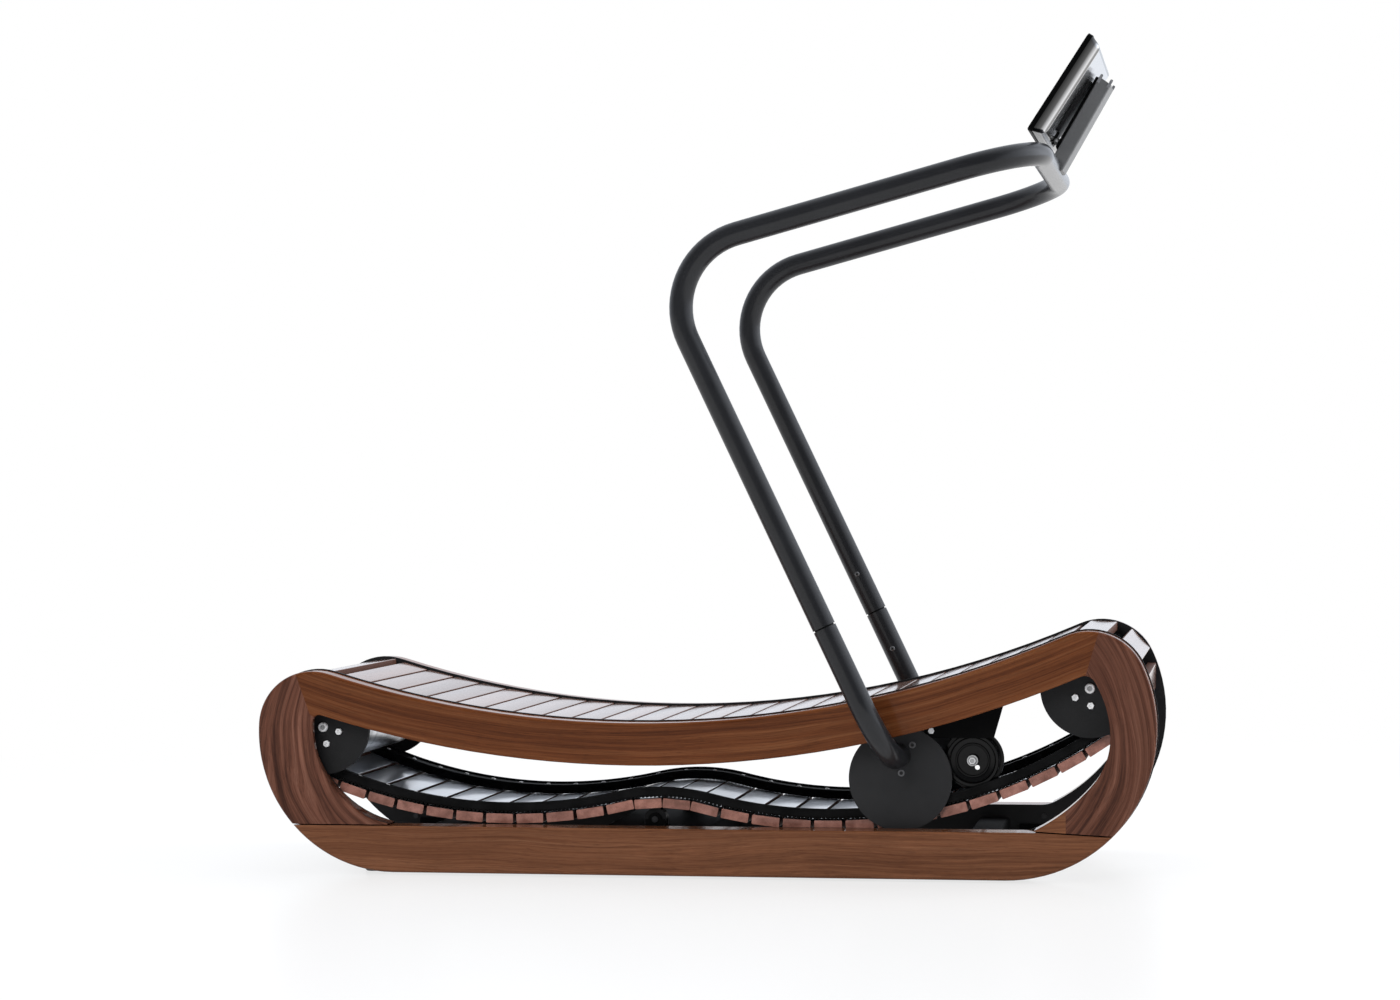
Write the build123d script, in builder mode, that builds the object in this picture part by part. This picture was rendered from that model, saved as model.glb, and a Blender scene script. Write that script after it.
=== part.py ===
from build123d import *
import os
from math import atan2, cos, degrees, hypot, pi, radians, sin, sqrt

# Curved manual treadmill. Millimetres, +Z up, +X the way the runner faces, Y across.
# The origin is on the floor under the middle of the machine. "right" is the runner's right, -Y.

# ---- driving dimensions ------------------------------------------------------------------
half_length = 864.0            # floor plan, half of the length over the steel side plates
frame_bottom = 3.0             # lowest line of the side plates
valley = (-110.0, 296.0)       # lowest point of the running curve, at the plates' top edge
top_radius = 2060.0            # radius of the running curve
crest_radius = 110.0           # rounding of the plates over the drums
rear_corner = 270.0            # big lower corners of the side frames
front_corner = 284.0

slat_half = 211.0              # half width of the walkable surface
plate_in, plate_out = 220.0, 225.0
wood_out = 275.0
wood_inset = 2.0               # the wood stands this much inside the steel plate's edge
wood_round, wood_ease = 6.0, 2.5   # outer and inner edges of the rings' faces
rail_depth = 80.5
runner_top = 94.5
post_y = 377.5                 # handrail tubes stand outside the wood
tube_r, tube_wall = 22.0, 3.0

slat_drop = 4.0                # slats run this far below the plates' edge
drum_slat_radius = crest_radius - slat_drop
slat_thick, slat_wide = 18.0, 53.0
slat_count = 60
belt_in, belt_out = 174.0, 210.0
belt_face, belt_root, belt_back, belt_rib = 19.0, 27.3, 36.0, 40.0   # depths below the slats' tops
pitch_depth = 31.0
cogs_per_slat = 2
hump = (-80.0, 128.0)          # where the return run is carried, at the slats' outer faces
hump_radius = 350.0
rear_sag, front_sag = 1000.0, 950.0
rear_axle_x = -744.0           # the take-up has drawn the rear drum a little forwards
run_gap = 0.3

os.makedirs("parts", exist_ok=True)


# ---- the curves that everything follows --------------------------------------------------
def heading(a, b):
    """Direction from point a to point b, in degrees."""
    return degrees(atan2(b[1] - a[1], b[0] - a[0]))


def along(a, angle, distance):
    """Point at a distance from a in a direction."""
    return (a[0] + distance * cos(radians(angle)), a[1] + distance * sin(radians(angle)))


def meet(c1, r1, c2, r2, upper=True):
    """Where two circles cross; the centre of a circle tangent to two others is such a point."""
    d = hypot(c2[0] - c1[0], c2[1] - c1[1])
    a = (r1**2 - r2**2 + d**2) / (2 * d)
    h = sqrt(r1**2 - a**2)
    foot = along(c1, heading(c1, c2), a)
    ends = [along(foot, heading(c1, c2) + side, h) for side in (90, -90)]
    return max(ends, key=lambda p: p[1]) if upper else min(ends, key=lambda p: p[1])


def bend(centre, radius, start, end, clockwise=True):
    """Arc about a centre between two directions."""
    sweep = (end - start) % 360
    return CenterArc(centre, radius, start, sweep - 360 if clockwise else sweep)


top_centre = (valley[0], valley[1] + top_radius)
rear_low = (-half_length + rear_corner, frame_bottom + rear_corner)
front_low = (half_length - front_corner, frame_bottom + front_corner)
reach = top_radius + crest_radius
rear_crest = meet(top_centre, reach, rear_low, rear_corner - crest_radius)
front_crest = meet(top_centre, reach, front_low, front_corner - crest_radius)
front_axle = front_crest
rear_axle = (rear_axle_x, top_centre[1] - sqrt(reach**2 - (rear_axle_x - top_centre[0]) ** 2))


def frame_line(inset):
    """The closed outer line of a side frame: one long hollow curve and four round corners."""
    rear_in = heading(rear_low, rear_crest)
    front_in = heading(front_low, front_crest)
    bend(top_centre, top_radius + inset, heading(top_centre, rear_crest),
         heading(top_centre, front_crest), clockwise=False)
    bend(front_crest, crest_radius - inset, heading(front_crest, top_centre), front_in)
    bend(front_low, front_corner - inset, front_in, -90)
    Line((front_low[0], frame_bottom + inset), (rear_low[0], frame_bottom + inset))
    bend(rear_low, rear_corner - inset, -90, rear_in)
    bend(rear_crest, crest_radius - inset, rear_in, heading(rear_crest, top_centre))


# The tread loop, seen from the right: top run, front drum, return run with two sags over a
# carrying roller, rear drum. Each stretch is an arc; depth is measured inwards from the slats' tops.
hump_centre = (hump[0], hump[1] - hump_radius)
rear_sag_centre = meet(rear_axle, rear_sag - drum_slat_radius, hump_centre, rear_sag + hump_radius)
front_sag_centre = meet(front_axle, front_sag - drum_slat_radius, hump_centre, front_sag + hump_radius)
run_radius = top_radius + slat_drop


def tread_arcs(depth):
    """The stretches of the loop as (centre, radius, start, end, clockwise)."""
    front_off = heading(front_sag_centre, front_axle)
    front_on = heading(front_sag_centre, hump_centre)
    rear_off = heading(rear_sag_centre, hump_centre)
    rear_on = heading(rear_sag_centre, rear_axle)
    return [
        (top_centre, run_radius + depth, heading(top_centre, rear_axle),
         heading(top_centre, front_axle), False),
        (front_axle, drum_slat_radius - depth, heading(front_axle, top_centre), front_off, True),
        (front_sag_centre, front_sag - depth, front_off, front_on, True),
        (hump_centre, hump_radius + depth, front_on + 180, rear_off + 180, False),
        (rear_sag_centre, rear_sag - depth, rear_off, rear_on, True),
        (rear_axle, drum_slat_radius - depth, rear_on, heading(rear_axle, top_centre), True),
    ]


def tread_line(depth):
    """Draws the closed loop at a depth."""
    for centre, radius, start, end, clockwise in tread_arcs(depth):
        bend(centre, radius, start, end, clockwise)


def rise(width, radius):
    """How far a flat of some width stands off a hollow curve that it touches at both edges."""
    return width**2 / (8 * radius)


def tread_places(depth, count, shift=0.5, flat=0.0):
    """Points evenly spaced along the belts' pitch line, moved to a depth, with their outward
    direction in degrees. A flat piece rides on its edges where the belt curves towards it."""
    spans = []
    for centre, radius, start, end, clockwise in tread_arcs(pitch_depth):
        sweep = (end - start) % 360
        if clockwise:
            sweep -= 360
        spans.append((centre, radius, start, sweep, clockwise))
    lengths = [abs(radians(s[3])) * s[1] for s in spans]
    step = sum(lengths) / count
    places = []
    for index in range(count):
        rest = step * (index + shift)
        for (centre, radius, start, sweep, clockwise), length in zip(spans, lengths):
            if rest <= length:
                angle = start + sweep * rest / length
                grow = pitch_depth - depth if clockwise else depth - pitch_depth - rise(flat, radius)
                outward = angle if clockwise else angle + 180
                places.append((along(centre, angle, radius + grow), outward))
                break
            rest -= length
    return places


def mirrored(name, piece):
    """Writes the left-hand twin of a right-hand piece."""
    with BuildPart() as twin:
        mirror(piece, about=Plane.XZ)
    twin.part.label = name
    export_step(twin.part, f"parts/{name}.step")


def write(name, piece):
    """Labels a piece and writes it."""
    piece.label = name
    export_step(piece, f"parts/{name}.step")


def side(distance):
    """Plane parallel to the right side at a distance from the middle, facing outwards."""
    return Plane.XZ.offset(distance)


# ---- side frames: walnut ring in five jointed pieces over a steel plate -------------------
rail_under = top_radius + wood_inset + rail_depth
window_rear = ((-566.0, runner_top + 200.0), 200.0)
lip_rear, lip_thick = ((-563.0, runner_top + 189.0), 189.0), 12.0     # the wood's face laps over here
window_brow = ((577.0, 272.0), 200.0)       # front end: a steep brow, a round corner, a long toe
corner_round, corner_turn, toe_round = 135.0, -40.0, 347.0
window_corner = ((window_brow[0][0] + window_brow[1] - corner_round, window_brow[0][1]), corner_round)
window_toe = (along(window_corner[0], corner_turn, corner_round - toe_round), toe_round)
window_rounds = (13.0, 20.0, 60.0)          # rear top, front top, tip of the toe


def level_angle(circle, z):
    """Direction, below the centre, in which a circle reaches a level."""
    return degrees(atan2(z - circle[0][1], sqrt(circle[1] ** 2 - (z - circle[0][1]) ** 2)))


def opening(rear):
    """The window in a side frame, with a given circle at its rear end."""
    rear_top = meet(top_centre, rail_under, *rear)
    front_top = meet(top_centre, rail_under, *window_brow)
    toe_angle = level_angle(window_toe, runner_top)
    toe_tip = along(window_toe[0], toe_angle, toe_round)
    with BuildSketch() as hole:
        with BuildLine():
            bend(*rear, -90, heading(rear[0], rear_top))
            bend(top_centre, rail_under, heading(top_centre, rear_top), heading(top_centre, front_top),
                 clockwise=False)
            bend(*window_brow, heading(window_brow[0], front_top), 0)
            bend(*window_corner, 0, corner_turn)
            bend(*window_toe, corner_turn, toe_angle)
            Line(toe_tip, (rear[0][0], runner_top))
        make_face()
        for sharp, round_off in zip((rear_top, front_top, toe_tip), window_rounds):
            fillet(hole.vertices().sort_by_distance(Vector(*sharp))[0], round_off)
    return hole.sketch


window = opening(window_rear)
face_window = opening(lip_rear)

# Wood screws come through the plate from inside: x and z of each.
screw_r, screw_head_r, screw_long = 3.0, 5.5, 28.0
rail_mid = top_radius + wood_inset + rail_depth / 2
rail_screws = [along(top_centre, -90 + a, rail_mid) for a in (-14.5, -9, -3.5, 2, 7.5, 13, 18.5)]
cap_screws = [(-812.0, 250.0), (-760.0, 150.0), (822.0, 300.0), (806.0, 180.0), (740.0, 110.0)]
runner_screws = [(-690.0, 60.0), (-450.0, 55.0), (-240.0, 55.0), (60.0, 55.0), (340.0, 55.0), (619.0, 72.0)]
wood_screws = rail_screws + cap_screws + runner_screws

with BuildPart() as ring:
    with BuildSketch(side(plate_out)):
        with BuildLine():
            frame_line(wood_inset)
        make_face()
        add(window, mode=Mode.SUBTRACT)
    extrude(amount=wood_out - lip_thick - plate_out)
    with BuildSketch(side(wood_out - lip_thick)):
        with BuildLine():
            frame_line(wood_inset)
        make_face()
        add(face_window, mode=Mode.SUBTRACT)
    extrude(amount=lip_thick)
    fillet(ring.faces().sort_by(Axis.Y)[0].outer_wire().edges(), wood_round)
    fillet(ring.faces().sort_by(Axis.Y)[0].inner_wires()[0].edges(), wood_ease)
    with BuildSketch(side(plate_out)):
        with Locations(*wood_screws):
            Circle(screw_r)
    extrude(amount=screw_long - (plate_out - plate_in), mode=Mode.SUBTRACT)

# Cut lines between the wooden pieces, each a point on the inner and one past the outer line.
rear_mitre = ((-757.0, 309.0), (-794.0, 412.0))
front_mitre = ((732.0, 382.0), (763.0, 482.0))
joint_gap = 2.5
runner_line = ((-900.0, runner_top), (640.0, runner_top), (900.0, runner_top - 14.0))
toe_x = 694.0
in_window = ((-604.0, 200.0), (636.0, 200.0))   # also where the thin tips of the joints are cut off


def wood_piece(name, outline):
    """Cuts one piece out of the ring and writes it with its left-hand twin."""
    with BuildPart() as piece:
        add(ring.part)
        with BuildSketch(side(plate_out - 1)):
            with BuildLine():
                Polyline(*outline, close=True)
            make_face()
        extrude(amount=wood_out - plate_out + 2, mode=Mode.INTERSECT)
    write(f"right_{name}", piece.part)
    mirrored(f"left_{name}", piece.part)


raised = [(x, z + joint_gap) for x, z in runner_line]
toe_z = raised[1][1] + (raised[2][1] - raised[1][1]) * (toe_x - raised[1][0]) / (raised[2][0] - raised[1][0])
wood_piece("top_rail", [rear_mitre[1], front_mitre[1], front_mitre[0], in_window[1], in_window[0],
                        rear_mitre[0]])
wood_piece("rear_cap", [rear_mitre[1], rear_mitre[0], in_window[0], (in_window[0][0], raised[0][1]),
                        raised[0], (-900.0, 412.0)])
wood_piece("front_cap", [front_mitre[1], (900.0, 482.0), raised[2], (toe_x, toe_z), (toe_x, 200.0),
                         front_mitre[0]])
wood_piece("front_toe", [in_window[1], (toe_x, 200.0), (toe_x, toe_z), raised[1],
                         (in_window[1][0], raised[1][1])])
wood_piece("runner", [*runner_line, (900.0, 0.0), (-900.0, 0.0)])

# Steel side plate: the same ring, with a round lobe that carries each axle.
lobe_r = 92.0
axle_r = 15.0
bolt_r = 4.0
bearing_stations = 10
bearing_r, bearing_wide, stud_r = 17.0, 12.0, 5.0
bearing_arc = run_radius + belt_back + bearing_r + run_gap
bearing_axes = [along(top_centre, -90 + a, bearing_arc)
                for a in [-13.6 + 32.6 * i / (bearing_stations - 1) for i in range(bearing_stations)]]
rear_bolts = [along(rear_axle, a, 33.0) for a in (-15.0, -78.0)]
front_bolts = [along(front_axle, a, 32.0) for a in (-148.0, -88.0)]

with BuildPart() as plate:
    with BuildSketch(side(plate_in)) as plate_face:
        with BuildLine():
            frame_line(0)
        make_face()
        add(window, mode=Mode.SUBTRACT)
        with Locations(rear_axle, front_axle):
            Circle(lobe_r)
        with Locations(rear_axle, front_axle):
            Circle(axle_r + 0.05, mode=Mode.SUBTRACT)
        with Locations(*rear_bolts, *front_bolts):
            Circle(bolt_r + 0.05, mode=Mode.SUBTRACT)
        with Locations(*wood_screws):
            Circle(screw_r + 0.05, mode=Mode.SUBTRACT)
        with Locations(*bearing_axes):
            Circle(stud_r + 0.05, mode=Mode.SUBTRACT)
    extrude(amount=plate_out - plate_in)
write("right_side_plate", plate.part)
mirrored("left_side_plate", plate.part)

# Pan-head wood screws, head on the inner face of the plate.
with BuildPart() as screws:
    with BuildSketch(side(plate_in - 2.0)):
        with Locations(*wood_screws):
            RegularPolygon(screw_head_r, 8)
    extrude(amount=2.0)
    with BuildSketch(side(plate_in)):
        with Locations(*wood_screws):
            RegularPolygon(screw_r - 0.2, 6)
    extrude(amount=screw_long - 1.0)
    mirror(about=Plane.XZ)
write("wood_screws", screws.part)


# ---- drums ------------------------------------------------------------------------------
axle_plate_thick = 6.0
drum_r = drum_slat_radius - belt_back - run_gap
drum_wall = 6.0
drum_half = 213.0
groove = (belt_out - 7.0, drum_slat_radius - belt_rib - 0.4)
hub_r, hub_long = 31.0, 18.0
axle_bolt_r, axle_bolt_head = 7.0, 9.5


with BuildSketch() as cover_limit:
    add(window)
    offset(amount=-0.6)


def drum_set(name, axis, bolts):
    """An aluminium drum on sealed bearings, its fixed axle, and the plates and bolts that hold it."""
    across = Plane(origin=(axis[0], 0, axis[1]), x_dir=(0, 1, 0), z_dir=(-1, 0, 0))
    with BuildPart() as drum:
        with BuildSketch(across) as half_section:
            with BuildLine():
                Polyline((0, drum_r), (groove[0], drum_r), (groove[0], groove[1]),
                         (drum_half, groove[1]), (drum_half, hub_r), (drum_half - hub_long, hub_r),
                         (drum_half - hub_long, drum_r - drum_wall - 6), (0, drum_r - drum_wall - 6),
                         close=True)
            make_face()
        revolve(axis=Axis((axis[0], 0, axis[1]), (0, 1, 0)))
        mirror(about=Plane.XZ)
    write(f"{name}_drum", drum.part)

    with BuildPart() as bearings:
        with BuildSketch(side(drum_half - hub_long)):
            with Locations(axis):
                Circle(hub_r - 0.05)
                Circle(axle_r + 0.05, mode=Mode.SUBTRACT)
        extrude(amount=hub_long - 2)
        mirror(about=Plane.XZ)
    write(f"{name}_drum_bearings", bearings.part)

    with BuildPart() as axle:
        with BuildSketch(side(plate_out)):
            with Locations(axis):
                Circle(axle_r)
        extrude(amount=-2 * plate_out)
        with BuildSketch(side(plate_out)):
            with Locations(axis):
                Circle(axle_bolt_r)
        extrude(amount=-30, mode=Mode.SUBTRACT)
        with BuildSketch(side(-plate_out)):
            with Locations(axis):
                Circle(axle_bolt_r)
        extrude(amount=30, mode=Mode.SUBTRACT)
    write(f"{name}_axle", axle.part)

    with BuildPart() as cover:
        with BuildSketch(side(plate_out)):
            with Locations(axis):
                Circle(lobe_r)
            add(cover_limit.sketch, mode=Mode.INTERSECT)
            with Locations(axis):
                Circle(axle_bolt_r, mode=Mode.SUBTRACT)
            with Locations(*bolts):
                Circle(bolt_r + 0.05, mode=Mode.SUBTRACT)
        extrude(amount=axle_plate_thick)
        mirror(about=Plane.XZ)
    write(f"{name}_axle_plates", cover.part)


drum_set("rear", rear_axle, rear_bolts)
drum_set("front", front_axle, front_bolts)

# Hex bolts in the axle plates: one large in each axle's end, two small beside it.
with BuildPart() as bolts:
    face = plate_out + axle_plate_thick
    with BuildSketch(side(face)):
        with Locations(rear_axle, front_axle):
            RegularPolygon(axle_bolt_head, 6)
    extrude(amount=6)
    with BuildSketch(side(face)):
        with Locations(*rear_bolts, *front_bolts):
            RegularPolygon(6.8, 6)
    extrude(amount=5)
    with BuildSketch(side(face)):
        with Locations(rear_axle, front_axle):
            Circle(axle_bolt_r - 0.1)
    extrude(amount=-(axle_plate_thick + 25))
    with BuildSketch(side(face)):
        with Locations(*rear_bolts, *front_bolts):
            Circle(bolt_r - 0.1)
    extrude(amount=-(axle_plate_thick + plate_out - plate_in + 1))
    mirror(about=Plane.XZ)
write("axle_bolts", bolts.part)


# ---- the tread: slats on two toothed belts -------------------------------------------------
with BuildSketch() as slat_end:
    Rectangle(slat_wide, slat_thick)
    chamfer(slat_end.vertices(), 1.5)

with BuildPart() as slats:
    with BuildSketch(side(-slat_half)):
        for (x, z), outward in tread_places(slat_thick / 2, slat_count, flat=slat_wide):
            with Locations(Location((x, z), outward - 90)):
                add(slat_end.sketch)
    extrude(amount=2 * slat_half)
write("tread_slats", slats.part)

# One belt: a toothed band, with the gaps between the teeth cut as tapered notches, and a guide
# rib on the inside that runs in the drums' grooves.
gap_top, gap_flank = 11.0, 78.0
gap_deep = belt_root - belt_face
with BuildSketch() as notch:
    with Locations((0, 1 - gap_deep / 2)):
        Trapezoid(gap_top, gap_deep + 2, gap_flank, rotation=180)

with BuildPart() as belt:
    with BuildSketch(side(belt_in)):
        with BuildLine():
            tread_line(belt_face)
        make_face()
        with BuildLine():
            tread_line(belt_back)
        make_face(mode=Mode.SUBTRACT)
        for (x, z), outward in tread_places(belt_face, slat_count * cogs_per_slat, shift=0.0):
            with Locations(Location((x, z), outward - 90)):
                add(notch.sketch, mode=Mode.SUBTRACT)
    extrude(amount=belt_out - belt_in)
    with BuildSketch(side(belt_out - 6)):
        with BuildLine():
            tread_line(belt_back)
        make_face()
        with BuildLine():
            tread_line(belt_rib)
        make_face(mode=Mode.SUBTRACT)
    extrude(amount=6)
write("right_tread_belt", belt.part)
mirrored("left_tread_belt", belt.part)


# ---- bearings that carry the top run -------------------------------------------------------
bearing_y = (184.0, 196.0)
for number, axis in enumerate(bearing_axes, start=1):
    with BuildPart() as bearing:
        with BuildSketch(side(bearing_y[0])):
            with Locations(axis):
                Circle(bearing_r)
                Circle(stud_r + 0.05, mode=Mode.SUBTRACT)
        extrude(amount=bearing_y[1] - bearing_y[0])
        mirror(about=Plane.XZ)
    write(f"track_bearing_{number:02d}", bearing.part)

with BuildPart() as studs:
    with BuildSketch(side(bearing_y[0] - 2)):
        with Locations(*bearing_axes):
            Circle(stud_r)
    extrude(amount=plate_out - bearing_y[0] + 1)
    with BuildSketch(side(bearing_y[1] + 0.3)):
        with Locations(*bearing_axes):
            Circle(8)
    extrude(amount=plate_in - bearing_y[1] - 0.3)
    mirror(about=Plane.XZ)
write("track_bearing_studs", studs.part)


# ---- cross members, return rollers, feet -----------------------------------------------------
def cross_member(name, x, z, wide, deep, wall=3.0):
    """Rectangular steel tube between the side plates; x and z give its middle and its top."""
    with BuildPart() as member:
        with BuildSketch(side(-plate_in)):
            with Locations((x, z - deep / 2)):
                RectangleRounded(wide, deep, 6)
                RectangleRounded(wide - 2 * wall, deep - 2 * wall, 3, mode=Mode.SUBTRACT)
        extrude(amount=2 * plate_in)
    write(name, member.part)


cross_top = 82.0
cross_member("rear_cross_member", -555.0, 72.0, 60.0, 50.0)
cross_member("centre_cross_member", -106.0, cross_top, 212.0, 56.0)
cross_member("front_cross_member", 520.0, 68.0, 60.0, 50.0)

roller_r, roller_pin_r = 21.5, 6.0
roller_y = (178.0, 202.0)
roller_x = -92.0
roller_reach = hump_radius - rise(slat_wide, hump_radius) - roller_r - run_gap
roller_axis = (roller_x, hump_centre[1] + sqrt(roller_reach**2 - (roller_x - hump_centre[0]) ** 2))
cheek = 4.0
with BuildPart() as rollers:
    with BuildSketch(side(roller_y[0])):
        with Locations(roller_axis):
            Circle(roller_r)
            Circle(roller_pin_r + 0.05, mode=Mode.SUBTRACT)
    extrude(amount=roller_y[1] - roller_y[0])
    mirror(about=Plane.XZ)
write("return_rollers", rollers.part)

with BuildPart() as roller_brackets:
    for y in (roller_y[0] - cheek - 0.5, roller_y[1] + 0.5):
        with BuildSketch(side(y)):
            with Locations((roller_axis[0], cross_top)):
                Rectangle(38, roller_axis[1] - cross_top, align=(Align.CENTER, Align.MIN))
            with Locations(roller_axis):
                Circle(13)
            with Locations((roller_axis[0], cross_top)):
                Rectangle(60, 30, align=(Align.CENTER, Align.MAX), mode=Mode.SUBTRACT)
            with Locations(roller_axis):
                Circle(roller_pin_r + 0.05, mode=Mode.SUBTRACT)
        extrude(amount=cheek)
    mirror(about=Plane.XZ)
write("return_roller_brackets", roller_brackets.part)

with BuildPart() as roller_pins:
    with BuildSketch(side(roller_y[0] - cheek - 3)):
        with Locations(roller_axis):
            Circle(roller_pin_r)
    extrude(amount=roller_y[1] - roller_y[0] + 2 * cheek + 6)
    mirror(about=Plane.XZ)
write("return_roller_pins", roller_pins.part)

foot_y, foot_r, foot_high = 198.0, 20.0, 12.0
feet_at = [(-650.0, -foot_y), (600.0, -foot_y)]
shelf = 4.0
with BuildPart() as feet:
    with BuildSketch():
        with Locations(*feet_at):
            Circle(foot_r)
    extrude(amount=foot_high)
    chamfer(feet.edges().filter_by(GeomType.CIRCLE).group_by(Axis.Z)[0], 1.5)
    with BuildSketch(Plane.XY.offset(foot_high)):
        with Locations(*feet_at):
            Circle(5)
    extrude(amount=24)
    mirror(about=Plane.XZ)
write("levelling_feet", feet.part)

with BuildPart() as foot_brackets:
    with BuildSketch(Plane.XY.offset(22)):
        with Locations(*[(x, -(plate_in + 176) / 2) for x, y in feet_at]):
            Rectangle(60, plate_in - 176)
        with Locations(*feet_at):
            Circle(5.05, mode=Mode.SUBTRACT)
    extrude(amount=shelf)
    with BuildSketch(Plane.XY.offset(22 + shelf)):
        with Locations(*[(x, -plate_in + 2) for x, y in feet_at]):
            Rectangle(60, 4)
    extrude(amount=30)
    mirror(about=Plane.XZ)
write("foot_brackets", foot_brackets.part)


# ---- pressure wheel on the right-hand belt ----------------------------------------------------
wheel_r, flange_r, wheel_bore = 50.0, 57.0, 6.0
wheel_y = (176.0, 200.0)
wheel_lean = -71.2
wheel_axis = along(front_sag_centre, wheel_lean, front_sag - belt_back - wheel_r - run_gap)
hub_r, spy_hole_r, spy_hole_at = 10.8, 4.7, 15.8    # a turned wheel: rim, thin web with a hole, hub
with BuildPart() as wheel:
    with BuildSketch(Plane(origin=(wheel_axis[0], 0, wheel_axis[1]), x_dir=(0, 0, 1), z_dir=(1, 0, 0))):
        with BuildLine():
            Polyline(
                (wheel_bore + 0.05, wheel_y[0] - 8), (hub_r, wheel_y[0] - 8), (hub_r, 186), (40, 186),
                (43, wheel_y[0] - 8), (flange_r - 1, wheel_y[0] - 8), (flange_r, wheel_y[0] - 7),
                (flange_r, wheel_y[0] - 3.5), (flange_r - 1, wheel_y[0] - 2.5), (wheel_r, wheel_y[0] - 2.5),
                (wheel_r, wheel_y[1] - 1.5), (wheel_r - 1.5, wheel_y[1]), (44, wheel_y[1]), (42, 198),
                (41, 192), (33, 191), (31.5, 194), (29.5, 194), (28, 191), (hub_r, 190.5),
                (hub_r, wheel_y[1] - 0.5), (wheel_bore + 0.05, wheel_y[1] - 0.5), close=True)
        make_face()
    revolve(axis=Axis((wheel_axis[0], 0, wheel_axis[1]), (0, 1, 0)))
    with BuildSketch(side(wheel_y[0] - 8)):
        with Locations(along(wheel_axis, -60, spy_hole_at)):
            Circle(spy_hole_r)
    extrude(amount=wheel_y[1] - wheel_y[0] + 8, mode=Mode.SUBTRACT)
write("pressure_wheel", wheel.part)

# Its bracket: an outer plate packed off the side plate, a bridge over the wheel, and a strap behind
# it for the bolt. A second, small bolt holds the plate's rear corner.
bracket_back = (156.0, 164.0)
bracket_face = (209.0, 214.6)
bridge_top = 303.0
bracket_screw, bracket_screw_r = (441.0, 277.5), 3.0
with BuildPart() as idler_bracket:
    with BuildSketch(side(bracket_face[0])):
        with BuildLine():
            Polyline((428, 268), (432, 264), (558, 264), (580, 338), (560, 336), (466, 324),
                     (466, bridge_top), (428, bridge_top), close=True)
        make_face()
        with Locations(bracket_screw):
            Circle(bracket_screw_r + 0.05, mode=Mode.SUBTRACT)
    extrude(amount=bracket_face[1] - bracket_face[0])
    with BuildSketch(side(bracket_back[0])):
        with Locations((wheel_axis[0], bridge_top)):
            Rectangle(26, bridge_top - wheel_axis[1], align=(Align.CENTER, Align.MAX))
        with Locations(wheel_axis):
            Circle(13)
        with Locations(wheel_axis):
            Circle(wheel_bore, mode=Mode.SUBTRACT)
    extrude(amount=bracket_back[1] - bracket_back[0])
    with BuildSketch(side(bracket_back[0])):
        with Locations((wheel_axis[0], bridge_top)):
            Rectangle(86, 8, align=(Align.CENTER, Align.MAX))
    extrude(amount=bracket_face[1] - bracket_back[0])
    with BuildSketch(side(bracket_face[1])):
        with Locations((500, 316)):
            Rectangle(56, 10)
    extrude(amount=plate_in - bracket_face[1])
write("pressure_wheel_bracket", idler_bracket.part)

with BuildPart() as wheel_bolt:
    with BuildSketch(side(wheel_y[1] + 0.5)):
        with Locations(wheel_axis):
            RegularPolygon(10.5, 6)
    extrude(amount=7)
    with BuildSketch(side(wheel_y[1] + 0.5)):
        with Locations(wheel_axis):
            Circle(wheel_bore)
    extrude(amount=-(wheel_y[1] - bracket_back[0] + 6))
    with BuildSketch(side(bracket_face[1])):
        with Locations(bracket_screw):
            RegularPolygon(6.0, 6)
    extrude(amount=4.5)
    with BuildSketch(side(bracket_face[1])):
        with Locations(bracket_screw):
            Circle(bracket_screw_r)
    extrude(amount=-10)
write("pressure_wheel_bolt", wheel_bolt.part)


# ---- handrail ----------------------------------------------------------------------------------
foot_centre, foot_disc_r = (382.0, 187.5), 97.5
post_foot_z = 231.0
joint_z, joint_groove = 479.0, 3.0
knee = (-56.0, 1164.0)
bar = (660.0, 1348.0)
foot_bend, knee_bend = 120.0, 140.0


def post_x(z):
    """Where the leaning part of the handrail is at a height."""
    return 254.0 - 0.467 * (z - 500.0)


lean = heading((post_x(0), 0), (post_x(100), 100))
post_foot = (post_x(post_foot_z), post_foot_z)
joint = (post_x(joint_z), joint_z)
screws_at = [along(post_foot, a, 33.0) for a in (38, -82, 158)]
clamp_screws = [(post_x(402), 402.0), (post_x(557), 557.0)]


def tube(path_points, radii):
    """Sweeps the handrail tube along a path with rounded corners."""
    with BuildLine() as path:
        FilletPolyline(*path_points, radius=radii)
    with BuildSketch(Plane(origin=path.line @ 0, z_dir=path.line % 0)) as section:
        Circle(tube_r)
        Circle(tube_r - tube_wall, mode=Mode.SUBTRACT)
    sweep(sections=section.sketch, path=path.line)


below = along(joint, lean, -joint_groove / 2)
above = along(joint, lean, joint_groove / 2)
with BuildPart() as post:
    tube([(post_foot[0], -plate_in, post_foot[1]), (post_foot[0], -post_y, post_foot[1]),
          (below[0], -post_y, below[1])], foot_bend)
    with BuildSketch(side(post_y - tube_r - 1)):
        with Locations(clamp_screws[0]):
            Circle(3.05)
    extrude(amount=8, mode=Mode.SUBTRACT)
write("right_handrail_post", post.part)
mirrored("left_handrail_post", post.part)

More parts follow.
